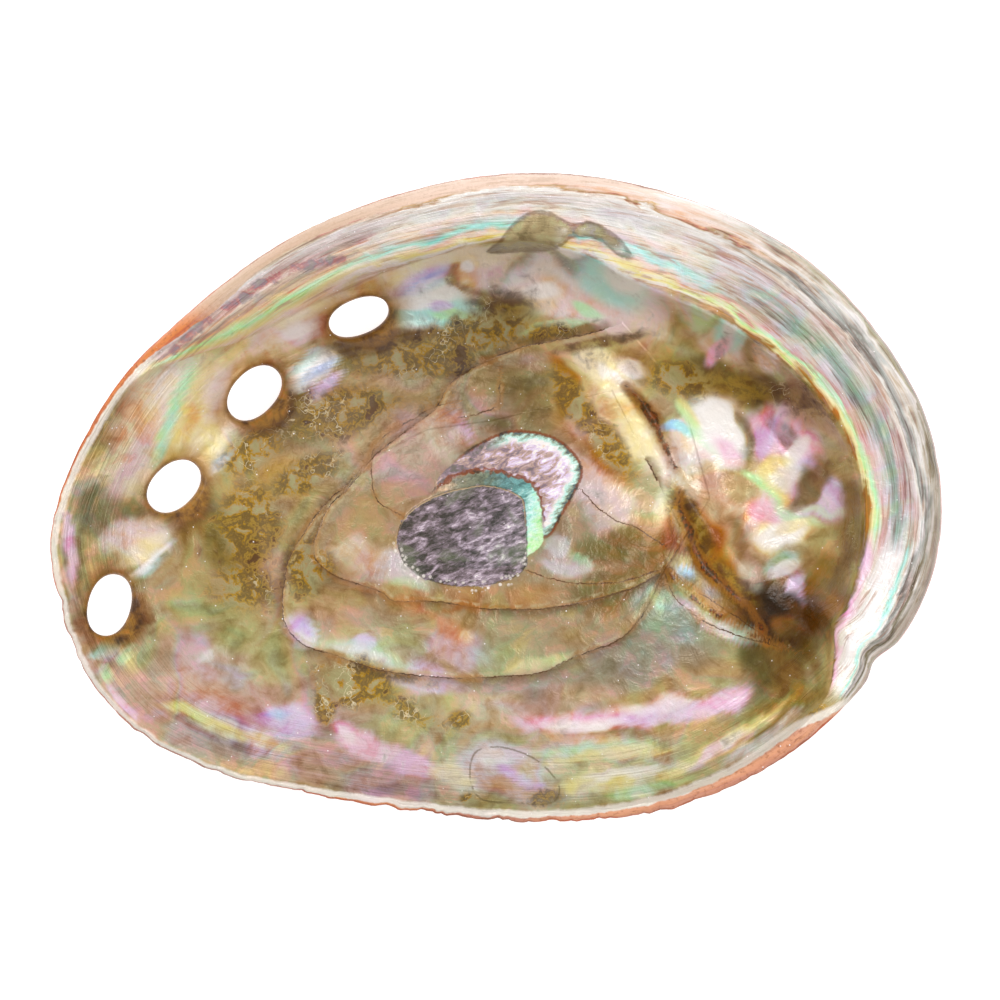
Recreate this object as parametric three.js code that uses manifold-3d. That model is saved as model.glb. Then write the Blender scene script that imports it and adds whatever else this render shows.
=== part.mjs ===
// An abalone shell lying on its back, with the open mother-of-pearl side up.
// Millimetres, +Z up. +X runs along the shell to the end with the coiled spire, and +Y to the folded
// inner lip. The origin is the middle of the shell's footprint, on the surface that it rests on.
// The wall is two height fields on one polar grid: the back below and the pearly face above. They
// share the outline, and the breathing holes are cut through both.
import * as THREE from 'three';
import { mergeVertices } from 'three/addons/utils/BufferGeometryUtils.js';
import Module from 'manifold-3d';

// Driving dimensions
const FLOOR_THICKNESS = 4.6; // wall at the deepest part of the bowl
const LEAST_WALL = 2.8; // measured straight down
const LIP_THICKNESS = 2.6; // free edge of the outer lip
const SHELF_MOST_WIDTH = 20.5; // folded inner lip, at its widest
const REST_WEAR = 0.5; // depth rubbed off the back where it touches down
const REST_POINT = [17, 13]; // where the back is lowest, under the shell's centre of mass
const RINGS = 22; // rings of the grid, from the middle to the outline
const FACE_RINGS = 4; // how many of them lie on the rim's face
const CURVE_STEPS = 12; // points between two points of an outline or a table
const TURN_STEPS = 720; // entries of a table that is looked up by angle

// The plan view, anticlockwise from the spire end.
// The short step after the outer lip's end is where the lip meets the older whorl.
const OUTLINE = [
  [90, 0], [86.5, 17], [78, 32], [64, 47], [47, 57], [24, 64], [2, 65.2], [-20, 61], [-41, 52.5],
  [-60, 39], [-75, 24], [-85, 7], [-89.5, -8], [-88, -20], [-83, -34], [-74, -45.5], [-58, -54.5],
  [-38, -59.5], [-15, -63.3], [12, -65.3], [36, -62.4], [56, -53.5], [69, -43], [75, -36.5],
  [76.5, -32.8], [81.5, -28.6], [88, -16],
];

// Around the shell: degrees from +X, anticlockwise, and the value there.
const RIM_HEIGHTS = [[0, 44], [45, 46], [90, 46], [135, 43], [180, 39], [225, 40], [270, 42], [315, 43]];
const FACE_WIDTHS = [
  [0, 16.6], [15, 19], [30, SHELF_MOST_WIDTH], [45, SHELF_MOST_WIDTH], [60, 19], [75, 16], [90, 14],
  [120, 14], [135, 13], [150, 11], [157, 6.5], [163, LIP_THICKNESS], [200, LIP_THICKNESS],
  [260, LIP_THICKNESS], [318, LIP_THICKNESS], [328, 4], [334, 9], [341, 13.4], [348, 15],
];
// The same two things lower down in the bowl, where the shelf's ends no longer show.
const BOWL_WIDTHS = [[0, 14], [45, 17], [90, 14], [135, 11], [180, 4.5], [225, 3], [270, 3], [315, 6]];
const STEEPNESS = [[0, 0.9], [45, 1], [90, 1], [135, 0.8], [180, 0.15], [225, 0], [270, 0.1], [315, 0.45]];

// The breathing holes still open: middle, half length, half width and the turn of the long axis
const OPEN_HOLES = [
  { middle: [-77, -21], half: [6.2, 4.6], turn: 76 },
  { middle: [-64.4, 2.4], half: [6.2, 4.7], turn: 50 },
  { middle: [-48.4, 21.2], half: [6.3, 4.7], turn: 52 },
  { middle: [-27.6, 37], half: [6.2, 3.8], turn: 18 },
];
const HOLE_COLLAR = { height: 2.2, spread: 7.5 }; // raised ring on the back, round each open hole

// The row of holes goes on as sealed knobs round to the spire.
const ROW_PATH = [
  [-85, -36], [-77, -21], [-64.4, 2.4], [-48.4, 21.2], [-27.6, 37], [-3, 45], [18, 47.5], [38, 41],
  [54, 28], [64, 12], [68, -6],
];
const ROW_RIDGE = { height: 3, spread: 7.5 };
const SEALED_KNOBS = [[-3, 45], [16, 48], [32, 44], [45, 36.5], [55, 27], [62, 16], [66.5, 4]];
const KNOB = { height: 1.8, spread: 4.5 };

// The wall's section. A power is that of the reach, which is 0 at the rest point and 1 at the outline.
const BACK_SECTION = {
  power: 2, steepPower: 0.65, roundPower: 2.6, roundShare: 0.25, reliefFadesFrom: 0.9,
};
const BOWL_SECTION = { power: 2.1, steepPower: 2.9, shelfShapesFrom: 0.5, reliefFadesFrom: 0.88 };
// The rim: plain is a thin lip's value and shelf what a full shelf adds, in millimetres.
const RIM_CREST = { plain: 1, shelf: 2.6 }; // from the outline in to the highest line
const RIM_ROUNDING = { plain: 1, shelf: 7 }; // from the highest line down to the outline
const RIM_FALL = { plain: 0.3, shelf: 4.7, power: 1.4 }; // from the highest line to the inner edge
const FULL_SHELF_WIDTH = 11;
const SAME_PLACE = 1e-6; // rounding error allowed where two stretches of the section meet
const HOLE_PLUG = { below: 20, length: 90 };

const SPIRE = { middle: [61, -19], height: 5.5, spread: 13 };
const SPIRE_PIT = { middle: [60, -21], depth: 5, spread: 6.5 };
const SUTURE = {
  start: 23, startTurn: -40, shrinkPerTurn: 5, turns: 1.6, steps: 60, depth: 1.8, spread: 2.5,
};

// Low pads and folds of the pearly face: middle, height, the spread along and across, and the turn
const MUSCLE_SCAR = { middle: [-4, -7], height: 1.2, spread: [16, 12], turn: 15, flatTo: 0.6, gone: 1.1 };
const FOLDS = [
  { middle: [26, 18], height: 2.6, spread: [15, 4.5], turn: -56 },
  { middle: [46, -8], height: 3.4, spread: [13, 4], turn: -58 },
];

const degrees = THREE.MathUtils.degToRad;
const bell = (x) => Math.exp(-x * x);

// A smooth function of the angle, in radians, through the [degrees, value] pairs of a table.
function around(table) {
  const before = table.slice(-2).map(([a, v]) => [a - 360, v]);
  const after = table.slice(0, 2).map(([a, v]) => [a + 360, v]);
  const curve = new THREE.CatmullRomCurve3(
    [...before, ...table, ...after].map(([a, v]) => new THREE.Vector3(a, v, 0)));
  const points = curve.getPoints((before.length + table.length + after.length) * CURVE_STEPS);
  const stepsPerDegree = TURN_STEPS / 360;
  const values = Array.from({ length: TURN_STEPS + 1 }, (_, n) => {
    const turned = n / stepsPerDegree;
    const next = points.findIndex((p) => p.x > turned);
    const [a, b] = [points[next - 1], points[next]];
    return THREE.MathUtils.mapLinear(turned, a.x, b.x, a.y, b.y);
  });
  return (angle) => {
    const step = THREE.MathUtils.euclideanModulo(THREE.MathUtils.radToDeg(angle), 360) * stepsPerDegree;
    const whole = Math.floor(step);
    return THREE.MathUtils.lerp(values[whole], values[whole + 1], step - whole);
  };
}

// The outline's distance from the rest point, as a function of the angle there.
function outlineRadius() {
  const curve = new THREE.CatmullRomCurve3(
    OUTLINE.map(([x, y]) => new THREE.Vector3(x - REST_POINT[0], y - REST_POINT[1], 0)), true);
  const table = curve.getPoints(OUTLINE.length * CURVE_STEPS).slice(0, -1)
    .map((p) => [THREE.MathUtils.radToDeg(Math.atan2(p.y, p.x)), Math.hypot(p.x, p.y)])
    .map(([a, r]) => [a < 0 ? a + 360 : a, r])
    .sort((a, b) => a[0] - b[0]);
  return around(table);
}

const radiusAt = outlineRadius();
const rimHeightAt = around(RIM_HEIGHTS);
const faceWidthAt = around(FACE_WIDTHS);
const bowlWidthAt = around(BOWL_WIDTHS);
const steepnessAt = around(STEEPNESS);
const shelfShare = (width) => THREE.MathUtils.smoothstep(width, LIP_THICKNESS, FULL_SHELF_WIDTH);
const byShelf = ({ plain, shelf }, share) => plain + shelf * share;

function distanceToPath(x, y, path) {
  const point = new THREE.Vector3(x, y, 0);
  const nearest = new THREE.Vector3();
  const distances = path.slice(1).map((end, i) => {
    const piece = new THREE.Line3(new THREE.Vector3(...path[i], 0), new THREE.Vector3(...end, 0));
    return piece.closestPointToPoint(point, true, nearest).distanceTo(point);
  });
  return Math.min(...distances);
}

// How far (x, y) is from a feature's middle, in spreads, with x turned onto its long axis.
function spreadsFrom(x, y, { middle, spread, turn = 0 }) {
  const [along, across] = Array.isArray(spread) ? spread : [spread, spread];
  const offset = new THREE.Vector2(x - middle[0], y - middle[1]);
  offset.rotateAround(new THREE.Vector2(), -degrees(turn));
  return Math.hypot(offset.x / along, offset.y / across);
}

const rowLine = new THREE.CatmullRomCurve3(ROW_PATH.map(([x, y]) => new THREE.Vector3(x, y, 0)))
  .getPoints(ROW_PATH.length * 4).map((p) => [p.x, p.y]);
const sutureLine = Array.from({ length: SUTURE.steps + 1 }, (_, i) => {
  const turned = (SUTURE.turns * i) / SUTURE.steps;
  const reach = SUTURE.start / SUTURE.shrinkPerTurn ** turned;
  const angle = degrees(SUTURE.startTurn - 360 * turned);
  return [SPIRE.middle[0] + reach * Math.cos(angle), SPIRE.middle[1] + reach * Math.sin(angle)];
});

// What pushes the whole wall down: the spire and the ridge that carries the holes.
function wallPush(x, y) {
  const spire = SPIRE.height * bell(spreadsFrom(x, y, SPIRE));
  const ridge = ROW_RIDGE.height * bell(distanceToPath(x, y, rowLine) / ROW_RIDGE.spread);
  return spire + ridge;
}

// Relief on the back alone, downwards.
function backRelief(x, y) {
  const collars = OPEN_HOLES.map(({ middle }) =>
    HOLE_COLLAR.height * bell(spreadsFrom(x, y, { middle, spread: HOLE_COLLAR.spread })));
  const knobs = SEALED_KNOBS.map((middle) =>
    KNOB.height * bell(spreadsFrom(x, y, { middle, spread: KNOB.spread })));
  const suture = SUTURE.depth * bell(distanceToPath(x, y, sutureLine) / SUTURE.spread);
  return Math.max(...collars, ...knobs) - suture;
}

// Relief on the pearly face alone, upwards.
function faceRelief(x, y) {
  const { height, flatTo, gone } = MUSCLE_SCAR;
  const pastFlat = (spreadsFrom(x, y, MUSCLE_SCAR) - flatTo) / (gone - flatTo);
  const scar = height * (1 - THREE.MathUtils.clamp(pastFlat, 0, 1));
  const folds = FOLDS.map((fold) => fold.height * bell(spreadsFrom(x, y, fold)));
  const pit = SPIRE_PIT.depth * bell(spreadsFrom(x, y, SPIRE_PIT));
  return scar + Math.max(...folds) - pit;
}

// The angle from the shell's middle to the outline's point on a ray from the rest point.
function rimAngle(angle) {
  const radius = radiusAt(angle);
  return Math.atan2(REST_POINT[1] + radius * Math.sin(angle), REST_POINT[0] + radius * Math.cos(angle));
}

// The two heights at one place of the grid: share of the way from the rest point to the outline, angle.
function wallAt(reach, angle) {
  const radius = radiusAt(angle);
  const onRim = rimAngle(angle);
  const x = REST_POINT[0] + reach * radius * Math.cos(angle);
  const y = REST_POINT[1] + reach * radius * Math.sin(angle);
  const width = faceWidthAt(onRim);
  const shelf = shelfShare(width);
  const steep = steepnessAt(onRim);
  const rim = rimHeightAt(onRim);
  const outlineHeight = rim - byShelf(RIM_ROUNDING, shelf);
  const backFade = 1 - THREE.MathUtils.smoothstep(reach, BACK_SECTION.reliefFadesFrom, 1);
  const roundSide = 1 - Math.sqrt(Math.max(0, 1 - reach ** BACK_SECTION.roundPower));
  const openSide = reach ** (BACK_SECTION.power + BACK_SECTION.steepPower * steep);
  const backRise = THREE.MathUtils.lerp(openSide, roundSide, BACK_SECTION.roundShare * steep);
  const back = outlineHeight * backRise - backFade * (wallPush(x, y) + backRelief(x, y));

  const inset = byShelf(RIM_CREST, shelf);
  const fromOutline = (1 - reach) * radius;
  const edgeHeight = rim - byShelf(RIM_FALL, shelf);
  if (fromOutline < inset) {
    const rounding = Math.sqrt(1 - (1 - fromOutline / inset) ** 2);
    return { x, y, back, face: THREE.MathUtils.lerp(outlineHeight, rim, rounding) };
  }
  if (fromOutline < width + SAME_PLACE) {
    const across = (fromOutline - inset) / (width - inset);
    return { x, y, back, face: THREE.MathUtils.lerp(rim, edgeHeight, across ** RIM_FALL.power) };
  }
  const nearRim = THREE.MathUtils.smoothstep(reach, BOWL_SECTION.shelfShapesFrom, 1 - width / radius);
  const bowlRadius = radius - THREE.MathUtils.lerp(bowlWidthAt(onRim), width, nearRim);
  const inside = Math.min(1, (reach * radius) / bowlRadius);
  const open = inside ** BOWL_SECTION.power;
  const steepened = 1 - Math.sqrt(1 - inside ** BOWL_SECTION.steepPower);
  const rise = THREE.MathUtils.lerp(open, steepened, Math.max(steep, shelf * nearRim));
  const bowl = THREE.MathUtils.lerp(FLOOR_THICKNESS, edgeHeight, rise);
  const faceFade = 1 - THREE.MathUtils.smoothstep(inside, BOWL_SECTION.reliefFadesFrom, 1);
  const face = bowl + faceFade * (faceRelief(x, y) - wallPush(x, y));
  return { x, y, back, face: Math.max(face, back + LEAST_WALL) };
}

// Square grid to round grid: whole rings stay whole, so the rim's lines follow the outline.
function ringPlace(i, j) {
  const ring = Math.max(Math.abs(i), Math.abs(j));
  if (ring === 0) return { ring, angle: 0 };
  const quarter = Math.abs(i) >= Math.abs(j)
    ? (j / i) * (Math.PI / 4) + (i < 0 ? Math.PI : 0)
    : Math.PI / 2 - (i / j) * (Math.PI / 4) + (j < 0 ? Math.PI : 0);
  return { ring, angle: quarter };
}

// Where a ring lies, as a share of the way to the outline.
function ringReach(ring, angle) {
  const radius = radiusAt(angle);
  const width = faceWidthAt(rimAngle(angle));
  const inset = byShelf(RIM_CREST, shelfShare(width));
  const inwards = [0, 0.3 * inset, inset, (inset + width) / 2, width][RINGS - ring];
  if (inwards !== undefined) return 1 - inwards / radius;
  return ((ring / (RINGS - FACE_RINGS)) * (radius - width)) / radius;
}

function shellGeometry() {
  const side = 2 * RINGS + 1;
  const faces = [];
  const places = [];
  for (let j = -RINGS; j <= RINGS; j++) {
    for (let i = -RINGS; i <= RINGS; i++) {
      const { ring, angle } = ringPlace(i, j);
      places.push(wallAt(ring === 0 ? 0 : ringReach(ring, angle), angle));
    }
  }
  const lowest = Math.min(...places.map((p) => p.back)) + REST_WEAR;
  const positions = [
    ...places.flatMap((p) => [p.x, p.y, p.face - lowest]),
    ...places.flatMap((p, n) => {
      const onOutline = n < side || n >= side * (side - 1) || n % side === 0 || n % side === side - 1;
      return [p.x, p.y, onOutline ? p.face - lowest : Math.max(0, p.back - lowest)];
    }),
  ];
  const count = side * side;
  for (let j = 0; j < side - 1; j++) {
    for (let i = 0; i < side - 1; i++) {
      const [a, b, c, d] = [j * side + i, j * side + i + 1, (j + 1) * side + i + 1, (j + 1) * side + i];
      const rising = (i < RINGS) === (j < RINGS); // the split runs outwards from the middle
      const quads = rising ? [a, b, c, a, c, d] : [a, b, d, b, c, d];
      faces.push(...quads);
      for (let k = 0; k < quads.length; k += 3) {
        faces.push(quads[k] + count, quads[k + 2] + count, quads[k + 1] + count);
      }
    }
  }
  const geometry = new THREE.BufferGeometry();
  geometry.setAttribute('position', new THREE.Float32BufferAttribute(positions, 3));
  geometry.setIndex(faces);
  return geometry;
}

// A straight plug with the outline of one breathing hole.
function holeGeometry({ middle, half, turn }) {
  const oval = new THREE.Shape().absellipse(0, 0, half[0], half[1], 0, 2 * Math.PI, false, degrees(turn));
  const plug = new THREE.ExtrudeGeometry(
    oval, { depth: HOLE_PLUG.length, bevelEnabled: false, curveSegments: 24 });
  return plug.translate(middle[0], middle[1], -HOLE_PLUG.below);
}

const wasm = await Module();
wasm.setup();

function toSolid(geometry) {
  const bare = geometry.clone();
  bare.deleteAttribute('normal');
  bare.deleteAttribute('uv');
  const merged = mergeVertices(bare, 1e-4);
  return new wasm.Manifold(new wasm.Mesh({
    numProp: 3,
    vertProperties: merged.attributes.position.array,
    triVerts: new Uint32Array(merged.index.array),
  }));
}

function toGeometry(solid) {
  const mesh = solid.getMesh();
  const geometry = new THREE.BufferGeometry();
  geometry.setAttribute('position', new THREE.BufferAttribute(mesh.vertProperties, 3));
  geometry.setIndex(new THREE.BufferAttribute(mesh.triVerts, 1));
  geometry.computeVertexNormals();
  return geometry;
}

const wall = OPEN_HOLES.reduce(
  (solid, hole) => solid.subtract(toSolid(holeGeometry(hole))), toSolid(shellGeometry()));
const shell = new THREE.Mesh(
  toGeometry(wall),
  new THREE.MeshStandardMaterial({ color: 0xc9b39a, roughness: 0.35, metalness: 0.15 }));
shell.name = 'abalone_shell';
const footprint = new THREE.Box3().setFromObject(shell).getCenter(new THREE.Vector3());
shell.position.set(-footprint.x, -footprint.y, 0);

const part = new THREE.Group();
part.add(shell);
export default part;
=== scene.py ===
import math

import bpy
import numpy as np
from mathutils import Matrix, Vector


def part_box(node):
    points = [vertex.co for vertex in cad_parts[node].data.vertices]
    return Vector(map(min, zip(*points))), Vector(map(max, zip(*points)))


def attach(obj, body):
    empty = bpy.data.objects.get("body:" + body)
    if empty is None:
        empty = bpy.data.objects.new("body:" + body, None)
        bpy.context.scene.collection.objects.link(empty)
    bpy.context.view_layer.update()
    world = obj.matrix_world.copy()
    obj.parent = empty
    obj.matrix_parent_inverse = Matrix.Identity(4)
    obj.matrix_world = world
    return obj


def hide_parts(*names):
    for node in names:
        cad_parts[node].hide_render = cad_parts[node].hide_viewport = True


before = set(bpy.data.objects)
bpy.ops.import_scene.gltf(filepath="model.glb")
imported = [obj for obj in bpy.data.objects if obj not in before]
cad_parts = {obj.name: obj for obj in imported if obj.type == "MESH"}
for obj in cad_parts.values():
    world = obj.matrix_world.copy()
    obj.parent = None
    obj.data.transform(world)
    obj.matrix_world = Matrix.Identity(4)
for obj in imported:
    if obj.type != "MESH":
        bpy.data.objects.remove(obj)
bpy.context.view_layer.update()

bl_info = {
    "name": "Abalone Shell",
    "version": (1, 0, 0),
    "blender": (4, 5, 0),
    "location": "3D View > Sidebar > Shell",
    "description": "Builds an abalone shell on its back, pearly side up, with its stage",
    "category": "Add Mesh",
}

# The CAD solid's box is the only size that is read; everything in it is drawn in millimetres.
CAD_NODE = "abalone_shell"
CAD_LOW, CAD_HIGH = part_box(CAD_NODE)
MM = 0.001
PER_MM = (1000, 1000, 1000)

# ---------------------------------------------------------------- the shell's drawing, in millimetres
# +X runs to the spire end, +Y to the folded inner lip. Angles are degrees from +X, anticlockwise.
REST_POINT = (17, 13)
FLOOR_THICKNESS = 4.6
LEAST_WALL = 2.8
LIP_THICKNESS = 2.6
FULL_SHELF_WIDTH = 11
REST_WEAR = 0.5
# Fall of the outline and of the shelf's inner edge below the rim, and width of the rim's rounding:
# at the thin lip, and how much more where the shelf is full
OUTLINE_FALL = (1, 7)
SHELF_FALL = (0.3, 4.7)
RIM_ROUNDING = (1, 2.6)
OUTLINE = (
    (90, 0), (86.5, 17), (78, 32), (64, 47), (47, 57), (24, 64), (2, 65.2), (-20, 61), (-41, 52.5),
    (-60, 39), (-75, 24), (-85, 7), (-89.5, -8), (-88, -20), (-83, -34), (-74, -45.5), (-58, -54.5),
    (-38, -59.5), (-15, -63.3), (12, -65.3), (36, -62.4), (56, -53.5), (69, -43), (75, -36.5),
    (76.5, -32.8), (81.5, -28.6), (88, -16),
)
RIM_HEIGHTS = ((0, 44), (45, 46), (90, 46), (135, 43), (180, 39), (225, 40), (270, 42), (315, 43))
FACE_WIDTHS = (
    (0, 16.6), (15, 19), (30, 20.5), (45, 20.5), (60, 19), (75, 16), (90, 14), (120, 14), (135, 13),
    (150, 11), (157, 6.5), (163, LIP_THICKNESS), (200, LIP_THICKNESS), (260, LIP_THICKNESS),
    (318, LIP_THICKNESS), (328, 4), (334, 9), (341, 13.4), (348, 15),
)
BOWL_WIDTHS = ((0, 14), (45, 17), (90, 14), (135, 11), (180, 4.5), (225, 3), (270, 3), (315, 6))
STEEPNESS = ((0, 0.9), (45, 1), (90, 1), (135, 0.8), (180, 0.15), (225, 0), (270, 0.1), (315, 0.45))
# Open breathing holes: middle, half length, half width, turn of the long axis
OPEN_HOLES = (
    (-77.8, -21.6, 6.2, 4.1, 78), (-65.2, 2.4, 6.1, 4.2, 46), (-49, 21.4, 6.4, 4.2, 47),
    (-27.8, 37, 6.3, 3.5, 22),
)
FUNNEL_WIDTH = 1.3
SQUARENESS = 2.15
# Rows of a hole's wall from the pearly face to the back: distance out from the narrowest edge, drop
# below the face, and height above the back; a row has one of the last two.
FUNNEL_ROWS = (
    (0.85, 0.12, None), (0.45, 0.4, None), (0.15, 0.9, None), (0, 1.7, None), (0.05, None, 1.6),
    (0.2, None, 0.8), (0.6, None, 0.25),
)
# The horny rims are broadest on the side of this offset: right, up, spread and extra width
HORN_LEAN = (5, -5, 5.5, 3.4)
HOLE_COLLAR = (2.2, 7.5)
ROW_PATH = (
    (-85, -36), (-77, -21), (-64.4, 2.4), (-48.4, 21.2), (-27.6, 37), (-3, 45), (18, 47.5), (38, 41),
    (54, 28), (64, 12), (68, -6),
)
ROW_RIDGE = (3, 7.5)
SEALED_KNOBS = ((-3, 45), (16, 48), (32, 44), (45, 36.5), (55, 27), (62, 16), (66.5, 4))
KNOB = (1.8, 4.5)
SPIRE = (61, -19, 5.5, 13)
# Depth of the chips in the edge and how much more along the free lip, with the lip's start and end
LIP_CHIPS = (0.2, 0.9)
LIP_START, LIP_END = (165, 200), (300, 320)
CHIP_LAYERS = ((20, 3.1, 0.6), (21, 1.1, 0.4))  # seed, size and share of each noise in the chips

SCAR_SWELL = 1.2
SCAR_PLACE = (-4, -7, 16, 12, 15)
# Soft relief of the pearly face: middle, height, half length, half width, turn
SWELLS = (
    (26, 18, 2.6, 15, 4.5, -56), (46, -8, 3.4, 13, 4, -58), (41, -2, 1.2, 8, 2.2, -62),
    (60, -21, -5, 6.5, 6.5, 0), (60, -25, 2.6, 3.4, 3.2, 0), (36, 10, -2.2, 12, 1.5, -62),
    (-3, 46, 1.9, 5, 3.2, 14), (16, 50, 1.7, 5, 3, -6), (53, -34, -0.8, 8, 8, 0),
    (52, 6, -0.9, 11, 1.8, 84), (66, 4, -0.9, 11, 2.2, 60), (59, 5, 0.7, 7, 4, 70),
    (-60, 14, -0.5, 13, 2, 76), (-70, 5, 0.5, 12, 3, 66), (-20, 13, 0.5, 14, 5, 40),
    (-50, -47, 0.6, 26, 5, -15), (26, -27, -0.8, 22, 6, 12), (-30, -26, 0.4, 13, 4, -20),
)
# Furrows between the folds by the spire: depth, half width and path
FURROWS = (
    (1.3, 0.8, ((27, 23), (29.5, 20.6), (32, 16.8), (33.2, 15), (34.4, 12.2), (36, 8.6), (36.8, 6.6))),
    (1.2, 0.7, ((37.8, 1.4), (38, -2), (39.6, -6), (41.2, -11), (43.4, -14.6), (48, -19), (52.6, -23.4),
                (54.4, -27))),
    (0.8, 0.5, ((35.6, -15), (38, -18.4), (42.5, -21.9), (50.8, -27.2), (55.5, -29.6))),
)

# Edges of the pearl layers, where one ends on another
OUTER_BED = (
    (26, 36), (21, 34), (12.6, 32.4), (6, 31), (0, 28.8), (-5.2, 26.2), (-9.6, 23), (-12, 18.5),
    (-17, 14.6), (-24.6, 8.6), (-30, 3), (-34.8, -1.4), (-38.4, -6.4), (-42, -12.4), (-42.8, -17),
    (-42.6, -25.8), (-38.4, -30), (-33.8, -31.4), (-24.6, -34.6), (-13.6, -36.2), (-6.4, -36.6),
    (3, -36.2), (9.8, -35.4), (16.6, -32.2), (25.8, -28.6), (31, -22.4), (34.6, -14.8),
)
INNER_BED = (
    (-24.6, 8.6), (-30, 2), (-34, -2), (-35.8, -6.2), (-37, -9.8), (-36.2, -13), (-32.8, -15.8),
    (-27.8, -17.6), (-22.8, -19.4), (-21, -21), (-17.2, -21), (-10.8, -21.2), (-4, -22.4),
    (7.6, -22.8), (14.4, -22), (21.4, -20.4), (29, -18), (34, -15.4),
)
SCAR_BED = (
    (-18.7, -4.2), (-20, -8), (-19, -12.5), (-16.4, -15.3), (-10.9, -17.6), (-4, -18), (2.9, -16.7),
    (6.1, -14.4), (6.6, -10.7), (6.4, -5), (5.7, -0.1), (3, 1.4), (-0.8, 2.6), (-4.9, 2.4), (-13.6, -0.1),
)
TEAL_BED = (
    (-18.7, -4.2), (-13.6, 0.4), (-9, 4), (-5, 5.4), (-1.7, 5.8), (2.9, 4.9), (8, 2.6), (9.6, -1),
    (9.8, -6.1), (9.8, -9.3), (7.5, -11.4), (2, -14), (-8, -14),
)
LOBE_BED = (
    (-12, 3), (-6.3, 9), (-2.6, 11.4), (2, 13.4), (6.6, 13.6), (12.1, 12.3), (16.2, 9), (17.8, 5.4),
    (16.2, 1.2), (13.5, -3.4), (10.5, -8), (4, -6), (-4, -1),
)
BLISTER = ((-4, -51.4), (1, -50.4), (9, -53.4), (13, -58.4), (12, -61), (5, -61.4), (-3, -60.4), (-5, -56.4))
OUTER_BED_CLOSING = ((44, 0), (38, 22))
INNER_BED_CLOSING = ((38, -6), (24, 22), (0, 16), (-14, 14))
LEAF_EDGES = (
    ((-10.6, 19.2), (-13, 18.4), (-18, 15.4), (-22.4, 12.8), (-25, 9.6), (-25.2, 4.4), (-24.4, 0),
     (-22.8, -1.6), (-18.6, -3.8)),
    ((18, 1.2), (21.2, -2), (25, -4.7), (29, -6.1), (34, -9.4)),
    ((34.6, -14.4), (29, -16.2), (25, -17.2), (16.5, -17.4), (11, -16.4), (7, -15)),
    ((34.6, -15.2), (36.6, -20), (40.8, -24), (46.6, -27), (52.6, -29), (57, -30)),
    ((55.5, -28.6), (50.8, -25.4), (43.4, -20.4), (38.4, -17), (35.4, -13.4)),
    ((1, 23), (0.6, 19), (-3, 17.4), (-9, 16)),
)
# The dark mound that overlaps the shelf
MOUND_BED = (
    (-1.4, 49.8), (1, 51.6), (4, 55.2), (7, 57), (10, 57.4), (13, 56), (15.4, 54.8), (19, 55.2), (22, 54),
    (24.8, 52), (26.8, 49.6), (28.2, 47.6), (25, 48.6), (22.2, 51), (19, 52.4), (15.4, 52.2), (13, 50.4),
    (9, 49.8), (4, 49.8),
)
# Raised patches on the pearly face: height, width of the edge and outline
LUMPS = ((1.5, 2.4, MOUND_BED), (0.4, 0.7, BLISTER))
# The coloured stripe along the shelf's pointed end
STRIPE = ((-64.4, 29.6), (-58.8, 35), (-52.6, 38.8), (-44.8, 44), (-37.2, 47), (-30, 48))

RINGS = 108
FACE_RINGS = 16
RIM_CROWDING = 1.25
# Cells round a hole that are moved with it, and smoothing passes along its edge and round it
MARGIN = 7
EDGE_PASSES = 40
GRID_PASSES = 30
SEED = 7
TURN_WITH_AGE = 0.3
AGE_PASSES = 12
# The flow field treats every place as this far from the axis, and full growth as this long
AROUND_REACH = 40
FULL_GROWTH = 100


# ---------------------------------------------------------------- small mathematics on arrays
def smoothstep(value, low, high):
    """From 0 to 1, gently, as the value goes from low to high."""
    share = np.clip((value - low) / (high - low), 0, 1)
    return share * share * (3 - 2 * share)


def lerp(start, end, share):
    """The value a share of the way from start to end."""
    return start + (end - start) * share


def bell(value):
    """1 at 0, and nearly nothing from 2 on."""
    return np.exp(-value * value)


def smooth_line(points, closed=False, steps=12):
    """A round curve through the points, evenly strained between them."""
    points = np.array(points, float)
    if closed:
        points = np.vstack([points[-1], points, points[:2]])
    else:
        points = np.vstack([2 * points[0] - points[1], points, 2 * points[-1] - points[-2]])
    share = np.linspace(0, 1, steps, endpoint=False)[:, None]
    line = []
    for before, start, end, after in zip(points, points[1:], points[2:], points[3:]):
        first, middle, last = (math.sqrt(np.linalg.norm(b - a)) for a, b in
                               ((before, start), (start, end), (end, after)))
        leave = end - start + middle * ((start - before) / first - (end - before) / (first + middle))
        arrive = end - start + middle * ((after - end) / last - (after - start) / (middle + last))
        line.append((2 * (start - end) + leave + arrive) * share**3
                    + (3 * (end - start) - 2 * leave - arrive) * share**2 + leave * share + start)
    if not closed:
        line.append(points[-2:-1])
    return np.vstack(line)


def around(table):
    """A smooth function of the angle, in radians, through the [degrees, value] pairs of a table."""
    pairs = [(a - 360, v) for a, v in table[-2:]] + list(table) + [(a + 360, v) for a, v in table[:2]]
    line = smooth_line(pairs)
    line = line[np.argsort(line[:, 0])]
    return lambda angle: np.interp(np.degrees(angle) % 360, line[:, 0], line[:, 1])


def nearest_part(line, x, y, closed=False):
    """Square of the distance in plan to a line of points, and the side it is on: 1 on its left."""
    ends = np.roll(line, -1, axis=0) if closed else line[1:]
    nearest, side = np.full(x.shape, 1e9), np.ones(x.shape)
    for (ax, ay), (bx, by) in zip(line, ends):
        length = max((bx - ax) ** 2 + (by - ay) ** 2, 1e-9)
        share = np.clip(((x - ax) * (bx - ax) + (y - ay) * (by - ay)) / length, 0, 1)
        square = (x - ax - share * (bx - ax)) ** 2 + (y - ay - share * (by - ay)) ** 2
        closer = square < nearest
        nearest = np.where(closer, square, nearest)
        side = np.where(closer, np.sign((bx - ax) * (y - ay) - (by - ay) * (x - ax)), side)
    return nearest, side


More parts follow.
